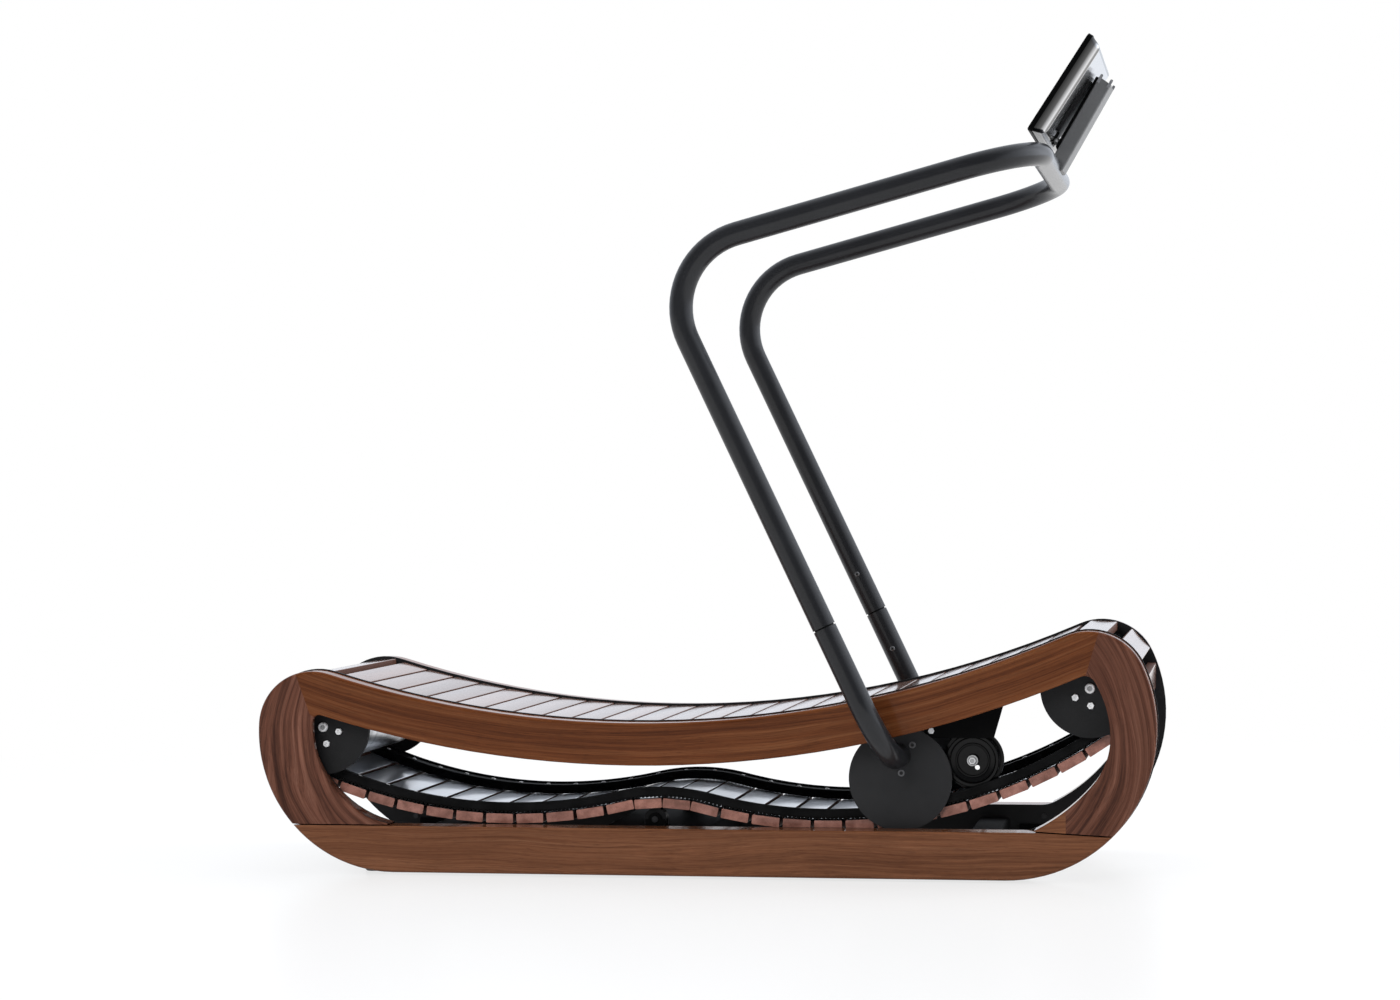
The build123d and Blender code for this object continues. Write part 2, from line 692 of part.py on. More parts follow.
with BuildPart() as loop:
    tube([(above[0], -post_y, above[1]), (knee[0], -post_y, knee[1]), (bar[0], -post_y, bar[1]),
          (bar[0], post_y, bar[1]), (knee[0], post_y, knee[1]), (above[0], post_y, above[1])], knee_bend)
    with BuildSketch(side(post_y - tube_r - 1)):
        with Locations(clamp_screws[1]):
            Circle(3.05)
    extrude(amount=8, mode=Mode.SUBTRACT)
    with BuildSketch(side(-post_y + tube_r + 1)):
        with Locations(clamp_screws[1]):
            Circle(3.05)
    extrude(amount=-8, mode=Mode.SUBTRACT)
write("handrail_loop", loop.part)

with BuildPart() as spigots:
    root = along(joint, lean, -100.0)
    with BuildSketch(Plane(origin=(root[0], -post_y, root[1]),
                           z_dir=(cos(radians(lean)), 0, sin(radians(lean))))):
        Circle(tube_r - tube_wall)
        Circle(tube_r - tube_wall - 4, mode=Mode.SUBTRACT)
    extrude(amount=200)
    with BuildSketch(side(post_y - tube_r)):
        with Locations(*clamp_screws):
            Circle(3.05)
    extrude(amount=12, mode=Mode.SUBTRACT)
    mirror(about=Plane.XZ)
write("handrail_spigots", spigots.part)

with BuildPart() as foot_plates:
    with BuildSketch(side(plate_in - 5)):
        with Locations(foot_centre):
            Circle(foot_disc_r)
        with Locations(*screws_at):
            Circle(3.05, mode=Mode.SUBTRACT)
    extrude(amount=5)
    mirror(about=Plane.XZ)
write("handrail_foot_plates", foot_plates.part)

with BuildPart() as rail_screw_set:
    with BuildSketch(side(plate_in - 7)):
        with Locations(*screws_at):
            Circle(3.0)
    extrude(amount=7)
    with BuildSketch(side(plate_in)):
        with Locations(*screws_at):
            Circle(6.0)
    extrude(amount=1.6)
    with BuildSketch(side(post_y - tube_r - 0.5)):
        with Locations(*clamp_screws):
            Circle(3.0)
    extrude(amount=8)
    mirror(about=Plane.XZ)
write("handrail_screws", rail_screw_set.part)


# ---- screen on its arm -----------------------------------------------------------------------
screen_mid = (688.0, 1492.0)
screen_lean = heading((634.0, 1403.0), (751.0, 1579.0))
screen_wide, screen_high, screen_deep, bezel = 390.0, 211.4, 33.0, 9.0
face_plane = Plane(origin=(screen_mid[0], 0, screen_mid[1]), x_dir=(0, -1, 0),
                   z_dir=(-sin(radians(screen_lean)), 0, cos(radians(screen_lean))))
front_depth = 10.0


def on_screen(up, out):
    """Side-view point given along the screen's face and out of it."""
    a = radians(screen_lean)
    return (screen_mid[0] + up * cos(a) - out * sin(a), screen_mid[1] + up * sin(a) + out * cos(a))


with BuildPart() as glass:
    with BuildSketch(face_plane.offset(-3.5)):
        RectangleRounded(screen_wide - 2 * bezel, screen_high - 2 * bezel, 2)
    extrude(amount=2.5)
write("screen_glass", glass.part)

with BuildPart() as bezel_frame:
    with BuildSketch(face_plane.offset(-front_depth)):
        RectangleRounded(screen_wide, screen_high, 9)
    extrude(amount=front_depth)
    with BuildSketch(face_plane.offset(-3.5)):
        RectangleRounded(screen_wide - 2 * bezel, screen_high - 2 * bezel, 2)
    extrude(amount=3.5, mode=Mode.SUBTRACT)
    with BuildSketch(face_plane.offset(-front_depth)):
        RectangleRounded(screen_wide - 2 * bezel - 12, screen_high - 2 * bezel - 12, 2)
    extrude(amount=front_depth, mode=Mode.SUBTRACT)
    front_ring = bezel_frame.faces().filter_by(face_plane).sort_by(Axis.X)[0]
    chamfer(front_ring.outer_wire().edges(), 1.2)
write("screen_bezel", bezel_frame.part)

# The housing bulges back from the front: sloping walls and a large round into the flat back.
housing_plane = face_plane.offset(-front_depth)
back_plane = face_plane.offset(-screen_deep)
wall_slope, back_round = 9.0, 15.0
with BuildPart() as housing:
    with BuildSketch(housing_plane):
        RectangleRounded(screen_wide - 3, screen_high - 3, 9)
    with BuildSketch(back_plane):
        RectangleRounded(screen_wide - 3 - 2 * wall_slope, screen_high - 3 - 2 * wall_slope, 12)
    loft()
    fillet(housing.faces().filter_by(housing_plane).sort_by(Axis.X)[-1].edges(), back_round)
write("screen_housing", housing.part)

# Tilt hinge low on the screen's back: a knuckle on the mount plate between two ears on the arm.
hinge_at = (-85.0, -40.0)
hinge = on_screen(*hinge_at)
pin_r, knuckle_r, knuckle_half, ear = 3.0, 5.5, 20.0, 7.0
mount_thick = 3.0
with BuildPart() as mount:
    with BuildSketch(face_plane.offset(-screen_deep - mount_thick)):
        with Locations((0, -12)):
            RectangleRounded(100, 114, 5)
        with Locations((0, -80)):
            Rectangle(2 * knuckle_half, 30)
    extrude(amount=mount_thick)
    with BuildSketch(side(-knuckle_half)):
        with Locations(hinge):
            Circle(knuckle_r)
        with Locations(Location(on_screen(hinge_at[0], hinge_at[1] + 3), screen_lean)):
            Rectangle(2 * knuckle_r, 6)
    extrude(amount=2 * knuckle_half)
    with BuildSketch(side(-knuckle_half)):
        with Locations(hinge):
            Circle(pin_r + 0.05)
    extrude(amount=2 * knuckle_half, mode=Mode.SUBTRACT)
    with BuildSketch(face_plane.offset(-screen_deep)):
        Rectangle(400, 300)
    extrude(amount=20, mode=Mode.SUBTRACT)
write("screen_mount", mount.part)

arm_foot, arm_lean, arm_half = (668.0, 1369.0), 59.2, 42.0


def on_arm(up, out):
    """Side-view point given along the arm and out of its front face."""
    a = radians(arm_lean)
    return (arm_foot[0] + up * cos(a) - out * sin(a), arm_foot[1] + up * sin(a) + out * cos(a))


hinge_up = (hinge[0] - arm_foot[0]) * cos(radians(arm_lean)) + (hinge[1] - arm_foot[1]) * sin(radians(arm_lean))
with BuildPart() as arm:
    with BuildSketch(side(-arm_half)):
        with BuildLine():
            Polyline(on_arm(-10, 0), on_arm(174, 0), on_arm(171, -28.5), on_arm(-15, -30),
                     on_arm(-22, -22), close=True)
        make_face()
        with Locations(bar):
            Circle(tube_r, mode=Mode.SUBTRACT)
    extrude(amount=2 * arm_half)
    fillet(arm.edges().filter_by(lambda e: e.length > 140), 4)
    for y in (knuckle_half + 0.4, -knuckle_half - 0.4 - ear):
        with BuildSketch(side(y)):
            with Locations(hinge):
                Circle(knuckle_r)
            with BuildLine():
                Polyline(on_arm(hinge_up - 11, -1), on_arm(hinge_up + 11, -1),
                         along(hinge, arm_lean, 5), along(hinge, arm_lean + 180, 5), close=True)
            make_face()
            with Locations(hinge):
                Circle(pin_r, mode=Mode.SUBTRACT)
        extrude(amount=ear)
write("screen_arm", arm.part)

# Black plastic strips line the arm's front along both edges, from the rail to the top.
liner = (30.0, 41.5, 5.0)      # inner and outer distance from the middle, thickness
with BuildPart() as arm_liner:
    with BuildSketch(side(liner[0])):
        with BuildLine():
            Polyline(on_arm(14, 0), on_arm(172, 0), on_arm(172, liner[2] - 1.5), on_arm(170.5, liner[2]),
                     on_arm(18, liner[2]), close=True)
        make_face()
    extrude(amount=liner[1] - liner[0])
    mirror(about=Plane.XZ)
write("screen_arm_liner", arm_liner.part)

with BuildPart() as pin:
    with BuildSketch(side(-30)):
        with Locations(hinge):
            Circle(pin_r)
    extrude(amount=60)
write("screen_hinge_pin", pin.part)
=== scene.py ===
from math import atan2, cos, hypot, pi, radians, sin, sqrt

import bmesh
import bpy
from mathutils import Matrix, Vector


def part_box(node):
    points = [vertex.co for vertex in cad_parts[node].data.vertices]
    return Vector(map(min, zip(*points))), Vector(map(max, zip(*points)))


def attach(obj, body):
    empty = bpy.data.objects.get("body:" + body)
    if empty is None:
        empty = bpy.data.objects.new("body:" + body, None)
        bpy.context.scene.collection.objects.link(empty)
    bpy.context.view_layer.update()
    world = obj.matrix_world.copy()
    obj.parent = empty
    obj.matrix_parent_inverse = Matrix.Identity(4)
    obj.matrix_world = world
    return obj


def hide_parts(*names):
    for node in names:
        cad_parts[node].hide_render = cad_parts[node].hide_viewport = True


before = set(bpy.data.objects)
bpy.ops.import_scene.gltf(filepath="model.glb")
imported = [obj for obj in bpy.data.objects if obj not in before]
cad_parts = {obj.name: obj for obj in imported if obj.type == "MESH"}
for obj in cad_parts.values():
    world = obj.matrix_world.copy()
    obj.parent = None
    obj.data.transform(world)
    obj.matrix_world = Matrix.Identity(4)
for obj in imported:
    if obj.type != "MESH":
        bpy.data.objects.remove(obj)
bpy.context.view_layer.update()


# ---- Camera ----------------------------------------------------------------------------------
# A long lens stands to the machine's right and a little ahead of its middle, at hip height, so
# that the far side shows past the near one and the backs of the screen and handrail are seen.
lens_place = (1.0427, -5.7372, 0.7235)
focal_length, sensor_width = 75.857, 36.0
yaw, pitch, roll = radians(10.656), radians(0.084), radians(-0.587)


def set_out(name, data):
    """Puts an object with this data in the scene."""
    made = bpy.data.objects.new(name, data)
    bpy.context.collection.objects.link(made)
    return made


lens = bpy.data.cameras.new("camera")
lens.lens = focal_length
lens.sensor_width = sensor_width
camera = set_out("camera", lens)
forward = Vector((-sin(yaw) * cos(pitch), cos(yaw) * cos(pitch), -sin(pitch)))
level = Vector((cos(yaw), sin(yaw), 0.0))
upright = level.cross(forward)
right = level * cos(roll) + upright * sin(roll)
above = upright * cos(roll) - level * sin(roll)
camera.matrix_world = Matrix.Translation(lens_place) @ Matrix(
    (right, above, -forward)).transposed().to_4x4()
bpy.context.scene.camera = camera
bpy.context.scene.view_settings.view_transform = "Standard"


# ---- Studio -----------------------------------------------------------------------------------
# A white cove: pale floor, a bright wall behind the machine, a darker room in front of it. A soft
# key hangs ahead of the near side, a broad box overhead, and a panel beyond the screen end.
white, cool_white = (1, 1, 1, 1), (0.93, 0.98, 1.06, 1)
room_light, wall_light, panel_light = 0.16, 1.0, 0.9
cove_side, cove_near, cove_far = 30, -30, 60
floor_grey = (0.86, 0.86, 0.86, 1)
floor_gloss, gloss_share = 0.30, 0.50
near_glow, near_reach, far_reach = 0.75, 1.3, 3.2   # the floor holds its shadow near, and is white far off


def add(tree, kind, values=None, **settings):
    """Puts a node in a tree, sets its options, and sets or links its inputs."""
    made = tree.nodes.new(kind)
    for name, value in settings.items():
        setattr(made, name, value)
    for socket, value in (values or {}).items():
        if isinstance(value, bpy.types.NodeSocket):
            tree.links.new(value, made.inputs[socket])
        else:
            made.inputs[socket].default_value = value
    return made


def number(tree, operation, *values, clamp=False):
    """The result of a sum on one, two or three numbers."""
    return add(tree, "ShaderNodeMath", dict(enumerate(values)), operation=operation,
               use_clamp=clamp).outputs[0]


def vector(tree, operation, *values):
    """The result of a sum on vectors."""
    made = add(tree, "ShaderNodeVectorMath", dict(enumerate(values)), operation=operation)
    return made.outputs["Value" if operation in ("LENGTH", "DOT_PRODUCT") else "Vector"]


def spread(tree, value, low, high, start=0.0, end=1.0, ease="LINEAR"):
    """Runs from low to high as a value goes from start to end."""
    return add(tree, "ShaderNodeMapRange", {"Value": value, "From Min": start, "From Max": end,
                                            "To Min": low, "To Max": high},
               interpolation_type=ease).outputs[0]


def mix(tree, share, first, second, way="MIX"):
    """One colour over another, by a share."""
    return add(tree, "ShaderNodeMixRGB", {"Fac": share, "Color1": first, "Color2": second},
               blend_type=way).outputs[0]


def on_piece(tree):
    """Where a point lies on the piece, in metres."""
    return add(tree, "ShaderNodeTexCoord").outputs["Object"]


def seen_directly(tree):
    """1 for what the camera sees, straight or through glass."""
    path = add(tree, "ShaderNodeLightPath")
    return path, number(tree, "MAXIMUM", path.outputs["Is Camera Ray"], path.outputs["Is Transmission Ray"])


studio = bpy.data.worlds.new("studio")
studio.use_nodes = True
bpy.context.scene.world = studio
tree = studio.node_tree
tree.nodes.clear()
facing = add(tree, "ShaderNodeSeparateXYZ", {0: add(tree, "ShaderNodeTexCoord").outputs["Generated"]})
wall = spread(tree, facing.outputs["Y"], room_light, wall_light, start=-0.6, end=0.25, ease="SMOOTHSTEP")
panel = spread(tree, facing.outputs["X"], 0.0, panel_light, start=0.55, end=0.85, ease="SMOOTHSTEP")
path, direct = seen_directly(tree)
cool = mix(tree, 1.0, cool_white, number(tree, "ADD", wall, panel), "MULTIPLY")
light = add(tree, "ShaderNodeBackground", {"Color": mix(tree, direct, cool, white), "Strength": 1.0})
add(tree, "ShaderNodeOutputWorld", {"Surface": light.outputs[0]})

floor_mesh = bpy.data.meshes.new("floor")
floor_mesh.from_pydata([(-cove_side, cove_near, 0), (cove_side, cove_near, 0), (cove_side, cove_far, 0),
                        (-cove_side, cove_far, 0)], [], [(0, 1, 2, 3)])
floor = set_out("floor", floor_mesh)
floor_paint = bpy.data.materials.new("cove_floor")
floor_paint.use_nodes = True
tree = floor_paint.node_tree
tree.nodes.clear()
path, direct = seen_directly(tree)
seen = number(tree, "MAXIMUM", direct, path.outputs["Is Glossy Ray"])
matt = add(tree, "ShaderNodeBsdfDiffuse", {"Color": floor_grey})
sheen = add(tree, "ShaderNodeBsdfGlossy", {"Color": white, "Roughness": floor_gloss})
laid = add(tree, "ShaderNodeMixShader", {0: gloss_share, 1: matt.outputs[0], 2: sheen.outputs[0]})
glow = add(tree, "ShaderNodeEmission", {"Color": white, "Strength": 1.0})
share = spread(tree, vector(tree, "LENGTH", on_piece(tree)), near_glow, 1.0, start=near_reach,
               end=far_reach, ease="SMOOTHSTEP")
lit = add(tree, "ShaderNodeMixShader", {0: share, 1: laid.outputs[0], 2: glow.outputs[0]})
shown = add(tree, "ShaderNodeMixShader", {0: seen, 1: laid.outputs[0], 2: lit.outputs[0]})
add(tree, "ShaderNodeOutputMaterial", {"Surface": shown.outputs[0]})
floor_mesh.materials.append(floor_paint)


def soft_box(name, place, aim, size, power):
    """A square soft lamp at a place, turned to a point. It leaves no image of itself in gloss."""
    lamp = bpy.data.lights.new(name, "AREA")
    lamp.shape = "SQUARE"
    lamp.size = size
    lamp.energy = power
    holder = set_out(name, lamp)
    holder.location = place
    holder.visible_glossy = False
    holder.rotation_euler = (Vector(aim) - Vector(place)).to_track_quat("-Z", "Y").to_euler()


soft_box("key", (-1.6, -5.2, 3.4), (0, 0, 0.5), size=3.2, power=190)
soft_box("end_panel", (5.2, 1.6, 2.2), (0.6, 0, 0.9), size=2.6, power=260)
soft_box("top", (0, 1.0, 5.0), (0, 0, 0.4), size=4.0, power=120)


# ---- Side rings ---------------------------------------------------------------------------------
# Each side is a ring of solid walnut, 50 mm thick, glued up from a bent rail, two end pieces, a
# toe and a boat-shaped runner, mitred together, oiled, and screwed to a steel plate from inside.
top_centre, run_radius = (-0.110, 2.356), 2.064     # the hollow of the running surface, seen from the side
rear_turn, rear_bend = (-0.54, 0.26), 0.27          # what each cap's grain bends round, and how tightly
front_turn, front_bend = (0.50, 0.26), 0.30
walnut = {"dark": (0.098, 0.028, 0.0090), "mid": (0.146, 0.044, 0.0140), "pale": (0.196, 0.070, 0.026),
          "gloss": 0.46}
grey_walnut = {"dark": (0.048, 0.017, 0.0105), "mid": (0.128, 0.048, 0.0290), "pale": (0.212, 0.090, 0.058),
               "gloss": 0.48}
red_walnut = {"dark": (0.160, 0.060, 0.0270), "mid": (0.200, 0.077, 0.0350), "pale": (0.245, 0.102, 0.050),
              "gloss": 0.46}


def blank(name):
    """A new material, its tree, and where a point lies on the piece."""
    made = bpy.data.materials.new(name)
    made.use_nodes = True
    return made, made.node_tree, on_piece(made.node_tree)


def from_axis(tree, spot, axis):
    """A point's place measured from an axis across the machine, and its distance from it."""
    spot = vector(tree, "SUBTRACT", spot, (axis[0], 0, axis[1]))
    return spot, vector(tree, "LENGTH", vector(tree, "MULTIPLY", spot, (1, 0, 1)))


def grain_frame(tree, spot, centre=None, shift=(0, 0, 0), bend=run_radius):
    """Where a point lies along, across and through the grain: straight, or bent about a centre."""
    if centre:
        spot, reach = from_axis(tree, spot, centre)
        part = add(tree, "ShaderNodeSeparateXYZ", {0: spot})
        turn = number(tree, "ARCTAN2", part.outputs["X"], number(tree, "MULTIPLY", part.outputs["Z"], -1.0))
        spot = add(tree, "ShaderNodeCombineXYZ", {0: number(tree, "MULTIPLY", turn, bend),
                                                  1: part.outputs["Y"], 2: reach}).outputs[0]
    return add(tree, "ShaderNodeMapping", {"Vector": spot, "Location": shift}).outputs[0]


def noise(tree, spot, scale, detail, draw=None, output="Fac"):
    """Noise of a scale, drawn out along the grain where draw gives a factor for each way."""
    if draw:
        spot = add(tree, "ShaderNodeMapping", {"Vector": spot, "Scale": draw}).outputs[0]
    return add(tree, "ShaderNodeTexNoise", {"Vector": spot, "Scale": scale, "Detail": detail}).outputs[output]


def ramp(tree, value, *stops):
    """A colour ramp given as (position, colour) pairs. A colour of one number is a grey."""
    made = add(tree, "ShaderNodeValToRGB", {0: value})
    for place, colour in stops[:-2]:
        made.color_ramp.elements.new(place)
    for element, (place, colour) in zip(made.color_ramp.elements, stops):
        element.position = place
        element.color = (*colour, 1) if len(colour) == 3 else (colour[0],) * 3 + (1,)
    return made.outputs[0]


def surface(tree, colour, rough, height, strength, plain, deep=0.0002):
    """Feeds the shader its colour, roughness and bump, and sets its plain values."""
    shader = tree.nodes["Principled BSDF"]
    bump = add(tree, "ShaderNodeBump", {"Height": height, "Strength": strength, "Distance": deep})
    for name, value in (("Base Color", colour), ("Roughness", rough), ("Normal", bump.outputs[0])):
        tree.links.new(value, shader.inputs[name])
    for name, value in plain.items():
        shader.inputs[name].default_value = value
    return shader


def sawn_wood(name, dark, mid, pale, gloss, swirl=0.010, **frame_at):
    """Solid wood: slow bands of heart and pale growth, fine streaks, open pores and a satin oil."""
    wood, tree, spot = blank(name)
    spot = grain_frame(tree, spot, **frame_at)
    drift = noise(tree, spot, 1.0, 2.0, draw=(2.2, 7.0, 7.0), output="Color")
    drift = vector(tree, "SUBTRACT", drift, (0.5, 0.5, 0.5))
    spot = vector(tree, "ADD", spot, vector(tree, "MULTIPLY", drift, (0, swirl * 4, swirl * 8)))
    slow = noise(tree, spot, 1.0, 1.0, draw=(0.8, 6, 10))
    bands = noise(tree, spot, 1.6, 3.0, draw=(0.9, 36, 74))
    lines = noise(tree, spot, 1.7, 3.0, draw=(1.8, 120, 210))
    fibres = noise(tree, spot, 1.0, 2.0, draw=(9, 500, 700))
    pores = noise(tree, spot, 1.0, 1.0, draw=(45, 900, 1500))
    body = ramp(tree, bands, (0.30, dark), (0.50, mid), (0.72, pale))
    open_pores = ramp(tree, pores, (0.60, (1.0,)), (0.70, (0.55,)))
    for share, shade in (
            (1.0, ramp(tree, lines, (0.36, (0.82, 0.78, 0.75)), (0.50, (1.0,)), (0.72, (1.10, 1.10, 1.09)))),
            (1.0, ramp(tree, fibres, (0.3, (0.74,)), (0.7, (1.14,)))),
            (1.0, ramp(tree, slow, (0.3, (0.84, 0.82, 0.80)), (0.7, (1.14, 1.16, 1.18)))),
            (0.75, open_pores)):
        body = mix(tree, share, body, shade, "MULTIPLY")
    surface(tree, body, spread(tree, lines, gloss + 0.08, gloss - 0.06),
            mix(tree, 0.5, fibres, open_pores), 0.25, deep=0.0004,
            plain={"Specular IOR Level": 0.0, "Coat Weight": 1.0, "Coat Roughness": 0.10, "Coat IOR": 1.2})
    return wood


def dress(material, *nodes):
    """Gives a finish to CAD nodes."""
    for name in nodes:
        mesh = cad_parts[name].data
        mesh.materials.clear()
        mesh.materials.append(material)


for hand, shift in (("right", 0.0), ("left", 3.7)):
    for title, node, palette, grain in (
            ("rail", "top_rail", walnut, {"centre": top_centre, "shift": (shift, 0, 0), "swirl": 0.004}),
            ("rear_cap", "rear_cap", grey_walnut, {"centre": rear_turn, "bend": rear_bend,
                                                   "shift": (shift, 0.4, 0), "swirl": 0.014}),
            ("front_cap", "front_cap", grey_walnut, {"centre": front_turn, "bend": front_bend,
                                                     "shift": (shift, 0.9, 0), "swirl": 0.010}),
            ("toe", "front_toe", red_walnut, {"shift": (shift, 1.4, 0.3)}),
            ("runner", "runner", red_walnut, {"shift": (shift, 2.0, 0.7), "swirl": 0.006})):
        dress(sawn_wood(f"{hand}_{title}_walnut", **palette, **grain), f"{hand}_{node}")


# ---- Steel frame ----------------------------------------------------------------------------------
# Laser-cut plates, cross members and brackets in fine-textured black powder coat: the ring plates
# that carry everything, the round axle covers, and the discs that the handrail is screwed to.
def powder_coat(name, tone, rough, tint=(1.0, 1.0, 1.03), pebble=0.18, shine=0.15):
    """Black polyester powder: a very dark even colour with a fine pebbled skin."""
    coat, tree, spot = blank(name)
    cloud = noise(tree, spot, 9.0, 4.0)
    skin = noise(tree, spot, 1500.0, 1.0)
    shade = ramp(tree, cloud, (0.35, tuple(tone * 0.86 * c for c in tint)),
                 (0.65, tuple(tone * 1.12 * c for c in tint)))
    shade = mix(tree, 1.0, shade, ramp(tree, skin, (0.40, (0.85,)), (0.62, (1.12,))), "MULTIPLY")
    surface(tree, shade, spread(tree, cloud, rough - 0.04, rough + 0.06), skin, pebble,
            plain={"Specular IOR Level": shine})
    return coat


dress(powder_coat("plate_powder_coat", 0.0185, 0.55),
      "right_side_plate", "left_side_plate", "rear_axle_plates", "front_axle_plates")
# painted shade: the cross members and brackets inside and under the frame take the same coat far darker, for
# the shade they stand in
dress(powder_coat("inner_black_painted_shade", 0.0035, 0.65, shine=0.05),
      "rear_cross_member", "centre_cross_member", "front_cross_member",
      "return_roller_brackets", "foot_brackets", "pressure_wheel_bracket")
dress(powder_coat("disc_powder_coat", 0.029, 0.5), "handrail_foot_plates")


# ---- Tread loop ---------------------------------------------------------------------------------
# The loop's path: a long hollow top run, the front drum, a return run that hangs in two sags over
# a carrying roller, and the rear drum. It is tangent arcs throughout, like the frame's edge.
drum_radius = 0.106
hump_top, hump_radius = (-0.080, 0.128), 0.350      # where the return run rides over the carrying roller
rear_sag_radius, front_sag_radius = 1.000, 0.950
pitch_depth = 0.031                                 # the line in the belt that keeps its length


def towards(a, b):
    return atan2(b[1] - a[1], b[0] - a[0])


def off(a, angle, distance):
    return (a[0] + distance * cos(angle), a[1] + distance * sin(angle))


def crossing(c1, r1, c2, r2):
    """The upper point where two circles cross."""
    apart = hypot(c2[0] - c1[0], c2[1] - c1[1])
    along = (r1 * r1 - r2 * r2 + apart * apart) / (2 * apart)
    foot = off(c1, towards(c1, c2), along)
    return max((off(foot, towards(c1, c2) + side * pi / 2, sqrt(r1 * r1 - along * along))
                for side in (1, -1)), key=lambda point: point[1])


def middle(node):
    """The middle of a node's box, seen from the side."""
    low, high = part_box(node)
    return ((low[0] + high[0]) / 2, (low[2] + high[2]) / 2)


rear_axis, front_axis = middle("rear_drum"), middle("front_drum")
hump_centre = (hump_top[0], hump_top[1] - hump_radius)
rear_sag = crossing(rear_axis, rear_sag_radius - drum_radius, hump_centre, rear_sag_radius + hump_radius)
front_sag = crossing(front_axis, front_sag_radius - drum_radius, hump_centre, front_sag_radius + hump_radius)
stretches = []
for centre, radius, start, end, hollow in (
        (top_centre, run_radius, towards(top_centre, rear_axis), towards(top_centre, front_axis), True),
        (front_axis, drum_radius, towards(front_axis, top_centre), towards(front_sag, front_axis), False),
        (front_sag, front_sag_radius, towards(front_sag, front_axis), towards(front_sag, hump_centre), False),
        (hump_centre, hump_radius, towards(hump_centre, front_sag), towards(hump_centre, rear_sag), True),
        (rear_sag, rear_sag_radius, towards(rear_sag, hump_centre), towards(rear_sag, rear_axis), False),
        (rear_axis, drum_radius, towards(rear_sag, rear_axis), towards(rear_axis, top_centre), False)):
    sweep = (end - start) % (2 * pi)
    stretches.append((centre, radius, start, sweep if hollow else sweep - 2 * pi, hollow))


def loop_points(count, depth, flat=0.0):
    """Even stations round the loop at a depth below the slats' tops: x, z and the outward turn. In
    a hollow, a flat piece of some width stands on its edges, so its middle is a little higher."""
    lengths = [abs(sweep) * (radius + (pitch_depth if hollow else -pitch_depth))
               for centre, radius, start, sweep, hollow in stretches]
    found = []
    for index in range(count):
        rest = sum(lengths) / count * (index + 0.5)
        for (centre, radius, start, sweep, hollow), length in zip(stretches, lengths):
            if rest <= length:
                angle = start + sweep * rest / length
                lift = flat * flat / (8 * radius) if hollow else 0.0
                found.append((*off(centre, angle, radius + (depth - lift if hollow else -depth)),
                              angle + pi if hollow else angle))
                break
            rest -= length
    return found


def stations(name, points, level=0.0):
    """A row of points at one place across the machine, that carries each one's turn."""
    cloud = bpy.data.meshes.new(name)
    cloud.from_pydata([(x, level, z) for x, z, turn in points], [], [])
    turns = cloud.attributes.new("turn", "FLOAT", "POINT")
    turns.data.foreach_set("value", [pi / 2 - turn for x, z, turn in points])
    return set_out(name, cloud)


def new_tree(name, **sizes):
    """A geometry tree: points, a finish and named sizes go in, and a mesh comes out."""
    tree = bpy.data.node_groups.new(name, "GeometryNodeTree")
    for title, way, kind in (("Points", "INPUT", "Geometry"), ("Finish", "INPUT", "Material"),
                             ("Mesh", "OUTPUT", "Geometry")):
        tree.interface.new_socket(name=title, in_out=way, socket_type="NodeSocket" + kind)
    for title, size in sizes.items():
        socket = tree.interface.new_socket(name=title, in_out="INPUT", socket_type="NodeSocketFloat")
        socket.default_value = size
    return tree, add(tree, "NodeGroupInput")


def close_tree(tree, given, shape):
    """The end of every tree: instances made real, and one finish."""
    whole = add(tree, "GeometryNodeRealizeInstances", {"Geometry": shape})
    done = add(tree, "GeometryNodeSetMaterial", {"Geometry": whole.outputs[0],
                                                 "Material": given.outputs["Finish"]})
    add(tree, "NodeGroupOutput", {"Mesh": done.outputs[0]})


def repeat(tree, given, shape):
    """Sets one shape at every point, turned about Y by the point's own turn, and gives each copy a
    random value of its own."""
    turn = add(tree, "GeometryNodeInputNamedAttribute", {"Name": "turn"}, data_type="FLOAT")
    spin = add(tree, "FunctionNodeAxisAngleToRotation", {"Axis": (0, 1, 0), "Angle": turn.outputs[0]})
    placed = add(tree, "GeometryNodeInstanceOnPoints", {"Points": given.outputs["Points"],
                                                        "Instance": shape, "Rotation": spin.outputs[0]})
    chance = add(tree, "FunctionNodeRandomValue", {"Seed": 7}, data_type="FLOAT")
    kept = add(tree, "GeometryNodeStoreNamedAttribute", {"Geometry": placed.outputs[0], "Name": "piece",
                                                         "Value": chance.outputs[1]},
               data_type="FLOAT", domain="INSTANCE")
    close_tree(tree, given, kept.outputs[0])


def grow(holder, tree, name, **values):
    """Runs a tree on an object and keeps the result as a plain mesh."""
    modifier = holder.modifiers.new("grow", "NODES")
    modifier.node_group = tree
    for item in tree.interface.items_tree:
        if item.in_out == "INPUT" and item.name in values:
            modifier[item.identifier] = values[item.name]
    done = holder.evaluated_get(bpy.context.evaluated_depsgraph_get())
    mesh = bpy.data.meshes.new_from_object(done)
    holder.modifiers.remove(modifier)
    bpy.data.objects.remove(holder)
    mesh.name = name
    return set_out(name, mesh)


# ---- Slats ---------------------------------------------------------------------------------------
# Sixty hardwood slats, planed, eased along their edges and lacquered, their backs faced with satin
# aluminium. Each is screwed from inside to both belts. One tree makes a slat and lays all sixty.
slat_count = 60
slat_length, slat_width, slat_thickness, slat_ease = 0.422, 0.053, 0.018, 0.0022
edge_share, back_share = 0.488, 0.45                # of the width and thickness, out from the middle
sawn_from = 0.2104                                  # a slat's end faces lie further out than this
grain_jump = 40.0                                   # how far apart two slats' grain may be taken


